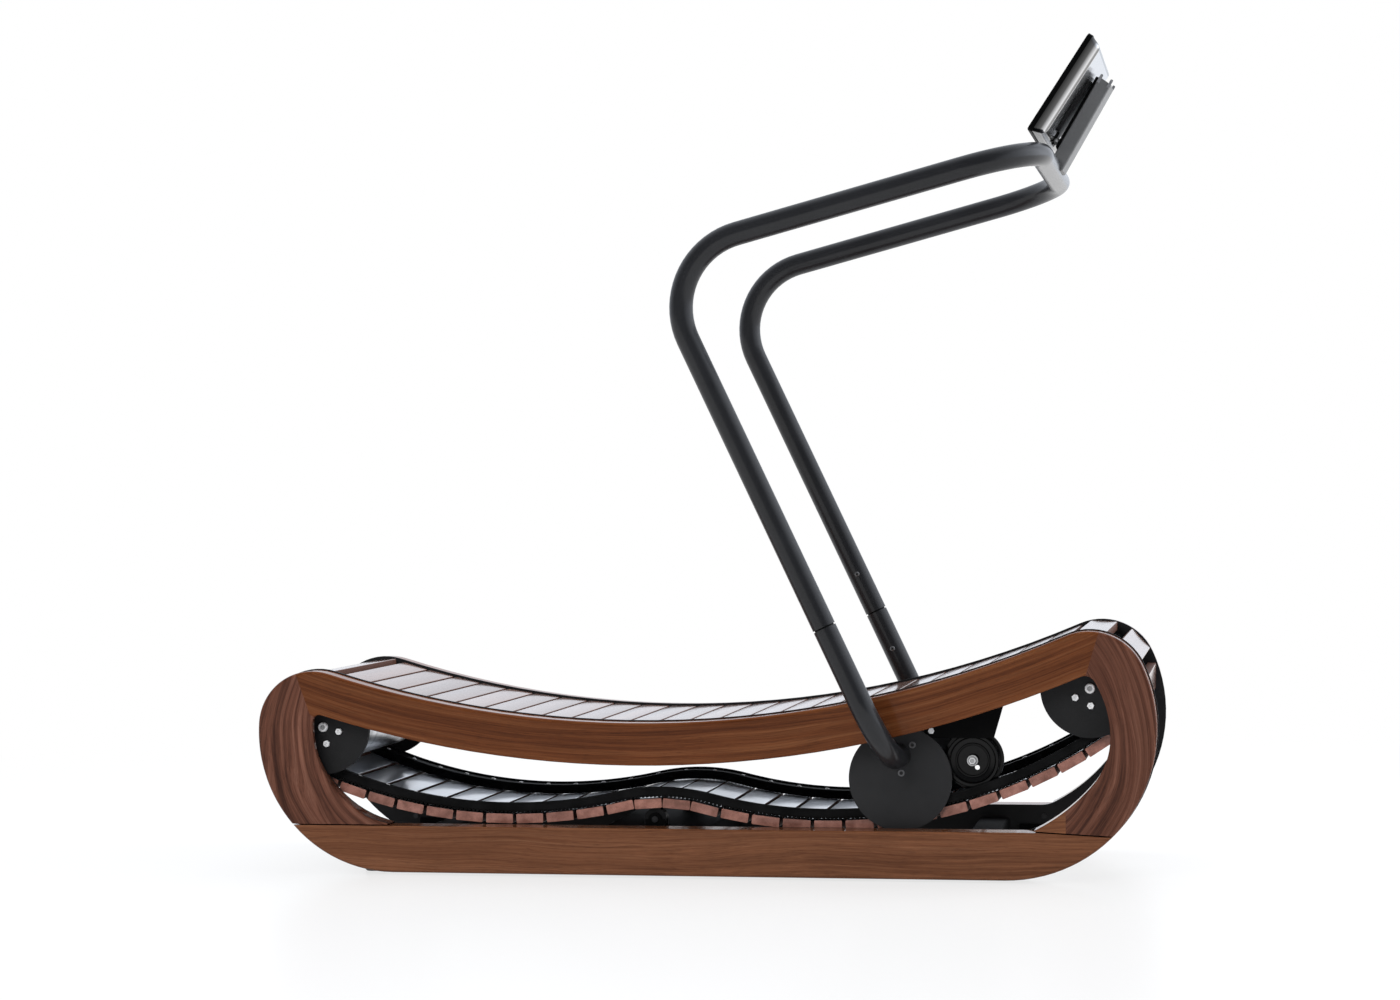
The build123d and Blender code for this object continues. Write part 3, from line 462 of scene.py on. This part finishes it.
def eased_bar(tree, width, height, radius, count):
    """The outline of a bar with rounded corners."""
    outline = add(tree, "GeometryNodeCurvePrimitiveQuadrilateral", {0: width, 1: height})
    return add(tree, "GeometryNodeFilletCurve", {"Curve": outline.outputs[0], "Count": count,
                                                 "Radius": radius}, mode="POLY").outputs[0]


def bar_across(tree, length, outline):
    """A bar of a given outline that lies across the machine."""
    half = number(tree, "MULTIPLY", length, 0.5)
    near, far = [add(tree, "ShaderNodeCombineXYZ", {1: y}).outputs[0]
                 for y in (number(tree, "MULTIPLY", half, -1.0), half)]
    spine = add(tree, "GeometryNodeCurvePrimitiveLine", {"Start": near, "End": far})
    spine = add(tree, "GeometryNodeSetCurveNormal", {0: spine.outputs[0]}, mode="Z_UP")
    return add(tree, "GeometryNodeCurveToMesh", {"Curve": spine.outputs[0], "Profile Curve": outline,
                                                 "Fill Caps": True}).outputs[0]


slat_tree, given = new_tree("slats", Length=slat_length, Width=slat_width, Thickness=slat_thickness,
                            Ease=slat_ease)
board = bar_across(slat_tree, given.outputs["Length"],
                   eased_bar(slat_tree, given.outputs["Width"], given.outputs["Thickness"],
                             given.outputs["Ease"], 4))
spot = add(slat_tree, "ShaderNodeSeparateXYZ", {0: add(slat_tree, "GeometryNodeInputPosition").outputs[0]})
# faces on a slat's long edges, which take painted shade
on_edge = number(slat_tree, "GREATER_THAN", number(slat_tree, "ABSOLUTE", spot.outputs["X"]),
                 number(slat_tree, "MULTIPLY", given.outputs["Width"], edge_share))
on_back = number(slat_tree, "LESS_THAN", spot.outputs["Z"],
                 number(slat_tree, "MULTIPLY", given.outputs["Thickness"], -back_share))
for title, there in (("edge", on_edge), ("back", on_back)):
    board = add(slat_tree, "GeometryNodeStoreNamedAttribute",
                {"Geometry": board, "Name": title, "Value": there},
                data_type="FLOAT", domain="FACE").outputs[0]
repeat(slat_tree, given, board)


def carried(tree, name):
    """A number that the mesh carries with it."""
    return add(tree, "ShaderNodeAttribute", attribute_name=name).outputs["Fac"]


def slat_wood():
    """Lacquered hardwood, the grain along each slat, every slat a little different, darker pores. The sawn
    ends are paler, the long edges carry painted shade near black for the dark gaps between slats, and the
    back is faced with satin aluminium."""
    wood, tree, at_rest = blank("slat_wood")
    own, edge, back = carried(tree, "piece"), carried(tree, "edge"), carried(tree, "back")
    far = number(tree, "MULTIPLY", own, grain_jump)
    jump = add(tree, "ShaderNodeCombineXYZ", {0: far, 1: far, 2: far}).outputs[0]
    spot = vector(tree, "ADD", at_rest, jump)
    bands = noise(tree, spot, 1.4, 3.0, draw=(40, 1.6, 40))
    fibres = noise(tree, spot, 1.0, 2.0, draw=(500, 12, 500))
    pores = noise(tree, spot, 1.0, 1.0, draw=(1100, 60, 1100))
    body = ramp(tree, bands, (0.32, (0.115, 0.060, 0.044)), (0.52, (0.165, 0.090, 0.068)),
                (0.72, (0.215, 0.125, 0.098)))
    for share, shade in (
            (1.0, ramp(tree, own, (0.0, (0.80, 0.78, 0.76)), (0.5, (1.0,)), (1.0, (1.16, 1.14, 1.12)))),
            (1.0, ramp(tree, fibres, (0.3, (0.86,)), (0.7, (1.08,)))),
            (0.7, ramp(tree, pores, (0.60, (1.0,)), (0.70, (0.6,))))):
        body = mix(tree, share, body, shade, "MULTIPLY")
    across = number(tree, "ABSOLUTE", add(tree, "ShaderNodeSeparateXYZ", {0: at_rest}).outputs["Y"])
    end = number(tree, "GREATER_THAN", across, sawn_from)
    body = mix(tree, end, body, mix(tree, 1.0, body, (2.25, 1.85, 1.85, 1), "MULTIPLY"))
    # painted shade: the long edges are drawn near black, for the shade in the gaps between slats
    body = mix(tree, edge, body, (0.070, 0.030, 0.020, 1))
    body = mix(tree, back, body, ramp(tree, fibres, (0.3, (0.80, 0.84, 0.90)), (0.7, (0.88, 0.92, 0.98))))
    rough = number(tree, "MULTIPLY_ADD", back, -0.20, spread(tree, bands, 0.50, 0.62))
    shader = surface(tree, body, rough, fibres, 0.10,
                     plain={"Specular IOR Level": 0.1, "Coat Roughness": 0.11, "Coat IOR": 1.65})
    tree.links.new(number(tree, "MULTIPLY", back, 0.90), shader.inputs["Metallic"])
    unlacquered = number(tree, "MULTIPLY_ADD", end, 0.7, edge)
    tree.links.new(number(tree, "SUBTRACT", 1.0, unlacquered, clamp=True), shader.inputs["Coat Weight"])
    return wood


slats = grow(stations("slat_stations", loop_points(slat_count, slat_thickness / 2, flat=slat_width)),
             slat_tree, "slats", Finish=slat_wood())
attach(slats, "machine")
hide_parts("tread_slats")


# ---- Belts --------------------------------------------------------------------------------------
# Two endless black rubber belts run under the slats' ends. On the slats' side each has fine round
# teeth, 8 mm apart, and a narrow hem along its inner edge; on the drums' side, a guide rib along
# its outer edge.
belt_width, belt_middle = 0.036, 0.192              # the middle is measured across, from the machine's own
belt_face, belt_back = 0.0228, 0.036                # each depth is measured below the slats' tops
corner_radius = 0.0012
rib_width, rib_height, rib_at, rib_depth = 0.006, 0.0046, 0.207, 0.0376
hem_width, hem_height, hem_at, hem_depth = 0.003, 0.0046, 0.1757, 0.0206
tooth_count, tooth_base, tooth_height, tooth_radius, tooth_depth = 440, 0.0052, 0.0052, 0.0016, 0.0222
course_points = 900
both_hands = (("right", -1), ("left", 1))


def rubber(name, tone, rough, pebble=0.2):
    """Moulded black rubber, faintly blotched and dusty, with a fine skin."""
    skin, tree, spot = blank(name)
    cloud = noise(tree, spot, 28.0, 5.0)
    shade = ramp(tree, cloud, (0.35, (tone * 0.7,) * 3), (0.70, (tone * 1.5, tone * 1.5, tone * 1.55)))
    surface(tree, shade, spread(tree, cloud, rough - 0.06, rough + 0.10), noise(tree, spot, 1100.0, 2.0),
            pebble, plain={"Specular IOR Level": 0.05})
    return skin


belt_rubber = rubber("belt_rubber", 0.007, 0.50)
band_tree, given = new_tree("belt_band", Width=belt_width, Middle=belt_middle, Face=belt_face, Back=belt_back)
course = add(band_tree, "GeometryNodeMeshToCurve", {0: given.outputs["Points"]})
course = add(band_tree, "GeometryNodeSetCurveNormal", {0: course.outputs[0], "Normal": (0, 1, 0)},
             mode="FREE")
thick = number(band_tree, "SUBTRACT", given.outputs["Back"], given.outputs["Face"])
deep = number(band_tree, "ADD", number(band_tree, "MULTIPLY", thick, 0.5), given.outputs["Face"])
band_at = add(band_tree, "ShaderNodeCombineXYZ", {0: given.outputs["Middle"],
                                                  1: number(band_tree, "MULTIPLY", deep, -1.0)}).outputs[0]
hem = add(band_tree, "GeometryNodeCurvePrimitiveQuadrilateral", {0: hem_width, 1: hem_height}).outputs[0]
swept = add(band_tree, "GeometryNodeJoinGeometry")
band = eased_bar(band_tree, given.outputs["Width"], thick, corner_radius, 3)
rib = eased_bar(band_tree, rib_width, rib_height, corner_radius, 3)
for outline, place in ((band, band_at), (rib, (rib_at, -rib_depth, 0)), (hem, (hem_at, -hem_depth, 0))):
    outline = add(band_tree, "GeometryNodeTransform", {0: outline, "Translation": place}).outputs[0]
    one = add(band_tree, "GeometryNodeCurveToMesh", {"Curve": course.outputs[0], "Profile Curve": outline})
    band_tree.links.new(one.outputs[0], swept.inputs[0])
close_tree(band_tree, given, swept.outputs[0])

tooth_tree, given = new_tree("belt_teeth", Width=belt_width, Base=tooth_base, Height=tooth_height)
repeat(tooth_tree, given, bar_across(tooth_tree, given.outputs["Width"], eased_bar(
    tooth_tree, given.outputs["Base"], given.outputs["Height"], tooth_radius, 2)))

for hand, side in both_hands:
    path_at = [(x, 0.0, z) for x, z, turn in loop_points(course_points, 0.0)]
    path_mesh = bpy.data.meshes.new("belt_course")
    path_mesh.from_pydata(path_at, [(i, (i + 1) % course_points) for i in range(course_points)], [])
    belt = grow(set_out("belt_course", path_mesh), band_tree, f"{hand}_belt", Finish=belt_rubber)
    if side < 0:
        belt.data.transform(Matrix.Scale(-1, 4, (0, 1, 0)))
        belt.data.flip_normals()
    teeth = grow(stations(f"{hand}_tooth_stations", loop_points(tooth_count, tooth_depth),
                          side * belt_middle), tooth_tree, f"{hand}_belt_teeth", Finish=belt_rubber)
    for piece in (belt, teeth):
        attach(piece, "machine")
        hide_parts(f"{hand}_tread_belt")


# ---- Slat screws ----------------------------------------------------------------------------------
# Low round-headed screws in bright zinc hold each slat, one to each belt, their near-white colour a painted
# glint. They show on the belts' bare inner side.
screw_row, screw_depth = 0.189, 0.0378
screw_radius, screw_crown = 0.0058, 0.0026
crown_share = 0.62                                  # how wide the crown is left


def bare_metal(name, colour, rough, metal=1.0, axis=None, rings=40.0, depth=0.25, plain=None):
    """Unpainted metal. With an axis it carries the fine rings a lathe leaves round it."""
    skin, tree, spot = blank(name)
    if axis:
        spot, reach = from_axis(tree, spot, axis)
        spot = add(tree, "ShaderNodeCombineXYZ", {
            0: reach, 1: add(tree, "ShaderNodeSeparateXYZ", {0: spot}).outputs["Y"]}).outputs[0]
    fine = noise(tree, spot, rings * 16, 2.0)
    shade = ramp(tree, noise(tree, spot, rings, 3.0),
                 (0.35, tuple(c * (1 - depth) for c in colour)), (0.65, colour))
    shade = mix(tree, 1.0, shade, ramp(tree, fine, (0.35, (0.88,)), (0.65, (1.06,))), "MULTIPLY")
    # painted shade: faces that a bolt head marks as dark are drawn towards black, for the shade in its
    # sockets and recesses
    shade = mix(tree, carried(tree, "dark"), shade, (0.01, 0.01, 0.01, 1))
    surface(tree, shade, spread(tree, fine, rough - 0.05, rough + 0.07), fine, 0.12,
            plain={"Metallic": metal, **(plain or {})})
    return skin


# painted glint: a near-white colour on a non-metal stands in for the bright reflections of plated steel
glint_white_zinc = bare_metal("glint_white_zinc", (0.95, 0.95, 0.95), 0.35, metal=0.0, depth=0.06)
pan_tree, given = new_tree("slat_screws", Radius=screw_radius, Crown=screw_crown)
crown = number(pan_tree, "MULTIPLY", given.outputs["Radius"], crown_share)
pan = add(pan_tree, "GeometryNodeMeshCone", {
    "Vertices": 10, "Side Segments": 1, "Radius Top": given.outputs["Radius"], "Radius Bottom": crown,
    "Depth": given.outputs["Crown"]})
repeat(pan_tree, given, pan.outputs[0])
for hand, side in both_hands:
    heads = grow(stations(f"{hand}_screw_stations", loop_points(slat_count, screw_depth, flat=slat_width),
                          side * screw_row), pan_tree, f"{hand}_slat_screws", Finish=glint_white_zinc)
    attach(heads, "machine")
    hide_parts(f"{hand}_tread_belt")


# ---- Drums and axles ------------------------------------------------------------------------------
# Each drum is an aluminium tube turned on a lathe, on two sealed bearings. Its steel axle is held
# between the axle plates by a large bolt at each end, and two hex bolts clamp each plate.
plate_face = 0.231                                  # the axle plates' outer face
both_sides = (-1, 1)
head_corners, head_turn = 24, 1.9                   # points round a head, and the turn from one to the next
rear_small = [off(rear_axis, radians(a), 0.033) for a in (-15.0, -78.0)]
front_small = [off(front_axis, radians(a), 0.032) for a in (-148.0, -88.0)]


def hex_or_round(radius, angle, six):
    return radius * cos(pi / 6) / cos(angle % (pi / 3) - pi / 6) if six else radius


def head(name, *rings):
    """A bolt head that points along -Y. Each ring outwards and in gives its radius, its height, if it is
    six-sided, and how much painted shade darkens the steel up to it, most in its sockets and recesses."""
    mesh = bpy.data.meshes.new(name)
    shape = bmesh.new()
    # each face's share of painted shade, for the shade in sockets and recesses
    shade = shape.faces.layers.float.new("dark")
    rows = []
    for radius, height, six, dark in rings:
        angles = [2 * pi * k / head_corners for k in range(head_corners)]
        rows.append([shape.verts.new((hex_or_round(radius, a, six) * cos(a), -height,
                                      hex_or_round(radius, a, six) * sin(a))) for a in angles])
    shape.faces.new(rows[0])
    shape.faces.new(rows[-1])[shade] = rings[-1][3]
    for (low, high), ring in zip(zip(rows, rows[1:]), rings[1:]):
        for k in range(head_corners):
            shape.faces.new((low[k - 1], low[k], high[k], high[k - 1]))[shade] = ring[3]
    bmesh.ops.recalc_face_normals(shape, faces=shape.faces)
    shape.to_mesh(mesh)
    shape.free()
    return set_out(name, mesh)


fixing_tree, given = new_tree("fixings")
fixing_tree.interface.new_socket(name="Head", in_out="INPUT", socket_type="NodeSocketObject")
pattern = add(fixing_tree, "GeometryNodeObjectInfo", {"Object": given.outputs["Head"]})
aim = add(fixing_tree, "GeometryNodeInputNamedAttribute", {"Name": "aim"}, data_type="FLOAT_VECTOR")
spin = add(fixing_tree, "FunctionNodeEulerToRotation", {0: aim.outputs[0]})
placed = add(fixing_tree, "GeometryNodeInstanceOnPoints", {
    "Points": given.outputs["Points"], "Instance": pattern.outputs["Geometry"], "Rotation": spin.outputs[0]})
close_tree(fixing_tree, given, placed.outputs[0])


def fit_heads(name, pattern, finish, node, slot, *places):
    """Sets a head at each x, y, z; it faces away from the machine's middle, or towards it where a
    fourth value is -1. Every head is turned a little differently about its own axis."""
    cloud = bpy.data.meshes.new(name)
    cloud.from_pydata([place[:3] for place in places], [], [])
    aims = cloud.attributes.new("aim", "FLOAT_VECTOR", "POINT")
    for index, place in enumerate(places):
        outwards = place[1] * (place[3] if len(place) > 3 else 1)
        aims.data[index].vector = (0, head_turn * index, pi if outwards > 0 else 0)
    piece = grow(set_out(name, cloud), fixing_tree, name, Head=pattern, Finish=finish)
    bpy.data.objects.remove(pattern)
    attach(piece, "machine")
    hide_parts(node)


axle_head = head(
    "axle_head", (0.0095, 0, False, 0), (0.0095, 0.0010, False, 0.10), (0.0090, 0.0014, False, 0.10),
    (0.0090, 0.0048, False, 0), (0.0078, 0.0060, False, 0), (0.0056, 0.0060, False, 0),
    (0.0052, 0.0046, False, 0.30), (0.0046, 0.0046, False, 0.16), (0.0042, 0.0022, True, 0.55))
fit_heads("axle_end_bolts", axle_head, glint_white_zinc, "axle_bolts", "zinc_steel",
          *[(x, side * plate_face, z) for x, z in (rear_axis, front_axis) for side in both_sides])
plate_head = head(
    "plate_head", (0.0068, 0, True, 0), (0.0068, 0.0040, True, 0.04), (0.0058, 0.0050, False, 0),
    (0.0026, 0.0050, False, 0), (0.0022, 0.0042, False, 0.30), (0.0010, 0.0042, False, 0.12))
fit_heads("axle_plate_bolts", plate_head, glint_white_zinc, "axle_bolts", "zinc_steel",
          *[(x, side * plate_face, z) for x, z in rear_small + front_small for side in both_sides])
for end, axis in (("rear", rear_axis), ("front", front_axis)):
    dress(bare_metal(f"{end}_drum_aluminium", (0.78, 0.79, 0.81), 0.30, axis=axis, rings=36.0, depth=0.45),
          f"{end}_drum")
    dress(bare_metal(f"{end}_axle_steel", (0.50, 0.50, 0.51), 0.28, axis=axis, rings=90.0),
          f"{end}_axle", f"{end}_drum_bearings")


# ---- Carrying bearings and rollers ----------------------------------------------------------------
# Ten sealed ball bearings a side stand on studs under the top run. The return run passes over a pair
# of black nylon rollers, and four rubber-footed levelling screws stand under the frame.
ground_steel = bare_metal("ground_steel", (0.56, 0.56, 0.57), 0.26, rings=120.0)
dress(ground_steel, *[f"track_bearing_{place:02d}" for place in range(1, 11)])
dress(bare_metal("dull_zinc", (0.50, 0.50, 0.50), 0.40, metal=0.8, rings=60.0), "track_bearing_studs")
dress(bare_metal("black_zinc", (0.030, 0.030, 0.032), 0.38, metal=0.6, rings=200.0),
      "wood_screws", "return_roller_pins")
dress(rubber("foot_rubber", 0.006, 0.60), "levelling_feet")
dress(rubber("nylon_black", 0.010, 0.35), "return_rollers")


# ---- Pressure wheel -------------------------------------------------------------------------------
# A black nylon wheel, turned in rings with one hole through its web, presses the right-hand belt.
# Its bolt sits on a washer; a small bolt holds the bracket's rear corner.
wheel_axis = middle("pressure_wheel")
wheel_face, bracket_face = -0.2005, -0.2146
bracket_corner = (0.441, bracket_face, 0.2775)
nylon = 0.0012
dress(bare_metal("wheel_nylon", (nylon, nylon, nylon * 1.05), 0.40, metal=0.0, axis=wheel_axis, rings=150.0,
                 depth=0.5, plain={"Specular IOR Level": 0.10, "Coat Weight": 0.3, "Coat Roughness": 0.15}),
      "pressure_wheel")
washer_head = head(
    "washer_head", (0.0104, 0, False, 0), (0.0104, 0.0012, False, 0.45), (0.0100, 0.0016, False, 0.45),
    (0.0082, 0.0016, False, 0.45), (0.0076, 0.0014, True, 0.8), (0.0072, 0.0050, True, 0.30),
    (0.0060, 0.0062, False, 0.20), (0.0042, 0.0066, False, 0.10), (0.0030, 0.0058, False, 0.6))
fit_heads("pressure_wheel_nut", washer_head, glint_white_zinc, "pressure_wheel_bolt", "zinc_steel",
          (wheel_axis[0], wheel_face, wheel_axis[1]))
corner_head = head(
    "corner_head", (0.0060, 0, True, 0), (0.0060, 0.0036, True, 0.0), (0.0050, 0.0045, False, 0),
    (0.0020, 0.0045, False, 0))
fit_heads("bracket_corner_bolt", corner_head, glint_white_zinc, "pressure_wheel_bolt", "zinc_steel",
          bracket_corner)


# ---- Handrail ---------------------------------------------------------------------------------------
# One bent loop of 44 mm steel tube stands on two bent posts, joined by inner spigots. It is coated in
# smooth satin black. Flat socket screws hold the feet, black button screws lock the joints.
foot_level, foot_seat = 0.231, 0.220                # the feet's height, and the screws' seat from the middle
joint_levels, joint_seat = (0.402, 0.557), 0.3553


def post_x(z):
    """Where the posts' straight part is at a height."""
    return 0.254 - 0.467 * (z - 0.5)


def satin_tube(name):
    """Smooth black powder coat that flows out to a satin skin, glossiest on the bar at the front."""
    skin = powder_coat(name, 0.0150, 0.36, tint=(0.96, 0.98, 1.08), pebble=0.03)
    tree = skin.node_tree
    along = add(tree, "ShaderNodeSeparateXYZ", {0: on_piece(tree)}).outputs["X"]
    shader = tree.nodes["Principled BSDF"]
    tree.links.new(spread(tree, along, 0.30, 1.0, start=0.60, end=0.72, ease="SMOOTHSTEP"),
                   shader.inputs["Coat Weight"])
    shader.inputs["Coat Roughness"].default_value = 0.15
    shader.inputs["Coat IOR"].default_value = 1.6
    shader.inputs["Coat Tint"].default_value = (0.95, 0.96, 1.0, 1.0)
    return skin


dress(satin_tube("handrail_coat"), "right_handrail_post", "left_handrail_post", "handrail_loop")
dress(powder_coat("spigot_black", 0.003, 0.6), "handrail_spigots")
foot_screws = [off((post_x(foot_level), foot_level), radians(a), 0.033) for a in (38, -82, 158)]
flat_head = head(
    "flat_head", (0.0066, 0, False, 0), (0.0066, 0.0008, False, 0.1), (0.0060, 0.0014, False, 0.1),
    (0.0034, 0.0014, False, 0.1), (0.0031, 0.0010, True, 0.9), (0.0026, 0.0004, True, 1.0))
grey_phosphate = bare_metal("grey_phosphate", (0.17, 0.17, 0.175), 0.40, metal=0.3, rings=200.0)
fit_heads("foot_screws", flat_head, grey_phosphate, "handrail_screws", "zinc_steel",
          *[(x, side * foot_seat, z) for x, z in foot_screws for side in both_sides])
button_head = head(
    "button_head", (0.0052, 0, False, 0), (0.0050, 0.0009, False, 0), (0.0042, 0.0019, False, 0),
    (0.0028, 0.0025, False, 0), (0.0024, 0.0025, False, 0), (0.0022, 0.0010, True, 1.0))
black_oxide = bare_metal("black_oxide", (0.16, 0.16, 0.165), 0.22, metal=0.5, rings=200.0)
fit_heads("joint_screws", button_head, black_oxide, "handrail_screws", "zinc_steel",
          *[(post_x(z), side * joint_seat, z, -1) for z in joint_levels for side in both_sides])


# ---- Screen -------------------------------------------------------------------------------------------
# A flat screen in a black bezel, with a satin silver housing behind it. It tilts on a pin between a
# steel plate and a grey textured arm, lined with black strips, that stands on the handrail's bar.
screen_lean = radians(56.386)
screen_mid = (0.688, 1.492)                         # the middle of the screen's face, x and z
housing_depth = 0.033


def moulded(name, tone, rough, grain=900.0, pebble=0.3, metal=0.0, coat=0.0):
    """Moulded or painted shell: even colour with slight drift, and a fine pebbled texture."""
    shell, tree, spot = blank(name)
    drift = noise(tree, spot, 14.0, 3.0)
    skin = noise(tree, spot, grain, 1.0)
    shade = ramp(tree, drift, (0.35, tuple(c * 0.94 for c in tone)), (0.65, tuple(c * 1.05 for c in tone)))
    shade = mix(tree, 1.0, shade, ramp(tree, skin, (0.38, (0.88,)), (0.64, (1.10,))), "MULTIPLY")
    surface(tree, shade, spread(tree, drift, rough - 0.03, rough + 0.04), skin, pebble,
            plain={"Metallic": metal, "Coat Weight": coat, "Coat Roughness": 0.06})
    return shell


def silver_with_painted_light(name):
    """Satin silver with painted light: painted shade beside the bezel, a painted highlight band where the
    side turns in, a painted dark reflection just before the back, and the pale flat back.
    """
    silver = moulded(name, (0.70, 0.70, 0.71), 0.17, grain=1500.0, pebble=0.0, metal=1.0)
    tree = silver.node_tree
    behind = vector(tree, "DOT_PRODUCT", on_piece(tree), (sin(screen_lean), 0, -cos(screen_lean)))
    front = screen_mid[0] * sin(screen_lean) - screen_mid[1] * cos(screen_lean)
    share = number(tree, "DIVIDE", number(tree, "SUBTRACT", behind, front), housing_depth)
    # painted light in the base colour, by depth behind the screen's face: dark beside the bezel, a bright
    # band, a dark band, then the pale back
    shade = ramp(tree, share, (0.34, (0.04,)), (0.62, (0.11,)), (0.78, (0.55, 0.55, 0.56)),
                 (0.86, (0.80, 0.80, 0.81)), (0.93, (0.28,)), (0.985, (0.28,)), (0.995, (0.72, 0.72, 0.73)))
    tree.links.new(shade, tree.nodes["Principled BSDF"].inputs["Base Color"])
    return silver


dress(moulded("dark_glass", (0.006, 0.006, 0.007), 0.07, grain=300.0, pebble=0.0, coat=1.0), "screen_glass")
dress(rubber("bezel_black", 0.002, 0.45), "screen_bezel")
dress(silver_with_painted_light("silver_painted_light"), "screen_housing")
dress(powder_coat("hinge_black", 0.010, 0.35), "screen_mount")
dress(moulded("arm_grey", (0.165, 0.165, 0.165), 0.50, grain=1300.0, pebble=0.15), "screen_arm")
dress(rubber("liner_black", 0.0015, 0.6, pebble=0.02), "screen_arm_liner")
dress(ground_steel, "screen_hinge_pin")


# ---- Arm clips ----------------------------------------------------------------------------------------
# Four thin tabs of grey plastic, two a side, lie flat on the arm's cheeks at its open top end and
# hold its back cover.
arm_foot, arm_lean = (0.668, 1.369), radians(59.2)  # x and z on the arm's front face, and its lean
clip_inner, clip_outer = 0.0421, 0.0433             # the tab's two faces, from the middle
clip_low, clip_shoulder, clip_top = 0.1630, 0.1790, 0.1805
clip_nip = 0.0015
tab = bmesh.new()
for side in both_sides:
    for back, front in ((-0.0065, -0.0010), (-0.0280, -0.0225)):
        corners = [(clip_low, back), (clip_shoulder, back), (clip_top, back + clip_nip),
                   (clip_top, front - clip_nip), (clip_shoulder, front), (clip_low, front)]
        inner, outer = [[tab.verts.new((arm_foot[0] + up * cos(arm_lean) - out * sin(arm_lean), side * y,
                                        arm_foot[1] + up * sin(arm_lean) + out * cos(arm_lean)))
                         for up, out in corners] for y in (clip_inner, clip_outer)]
        tab.faces.new(inner)
        tab.faces.new(outer[::-1])
        for i in range(len(corners)):
            j = (i + 1) % len(corners)
            tab.faces.new((inner[j], inner[i], outer[i], outer[j]))
bmesh.ops.recalc_face_normals(tab, faces=tab.faces)
tab_mesh = bpy.data.meshes.new("arm_clips")
tab.to_mesh(tab_mesh)
tab.free()
tab_mesh.materials.append(moulded("clip_grey", (0.30, 0.30, 0.31), 0.40, grain=1300.0, pebble=0.1))
clips = set_out("arm_clips", tab_mesh)
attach(clips, "machine")
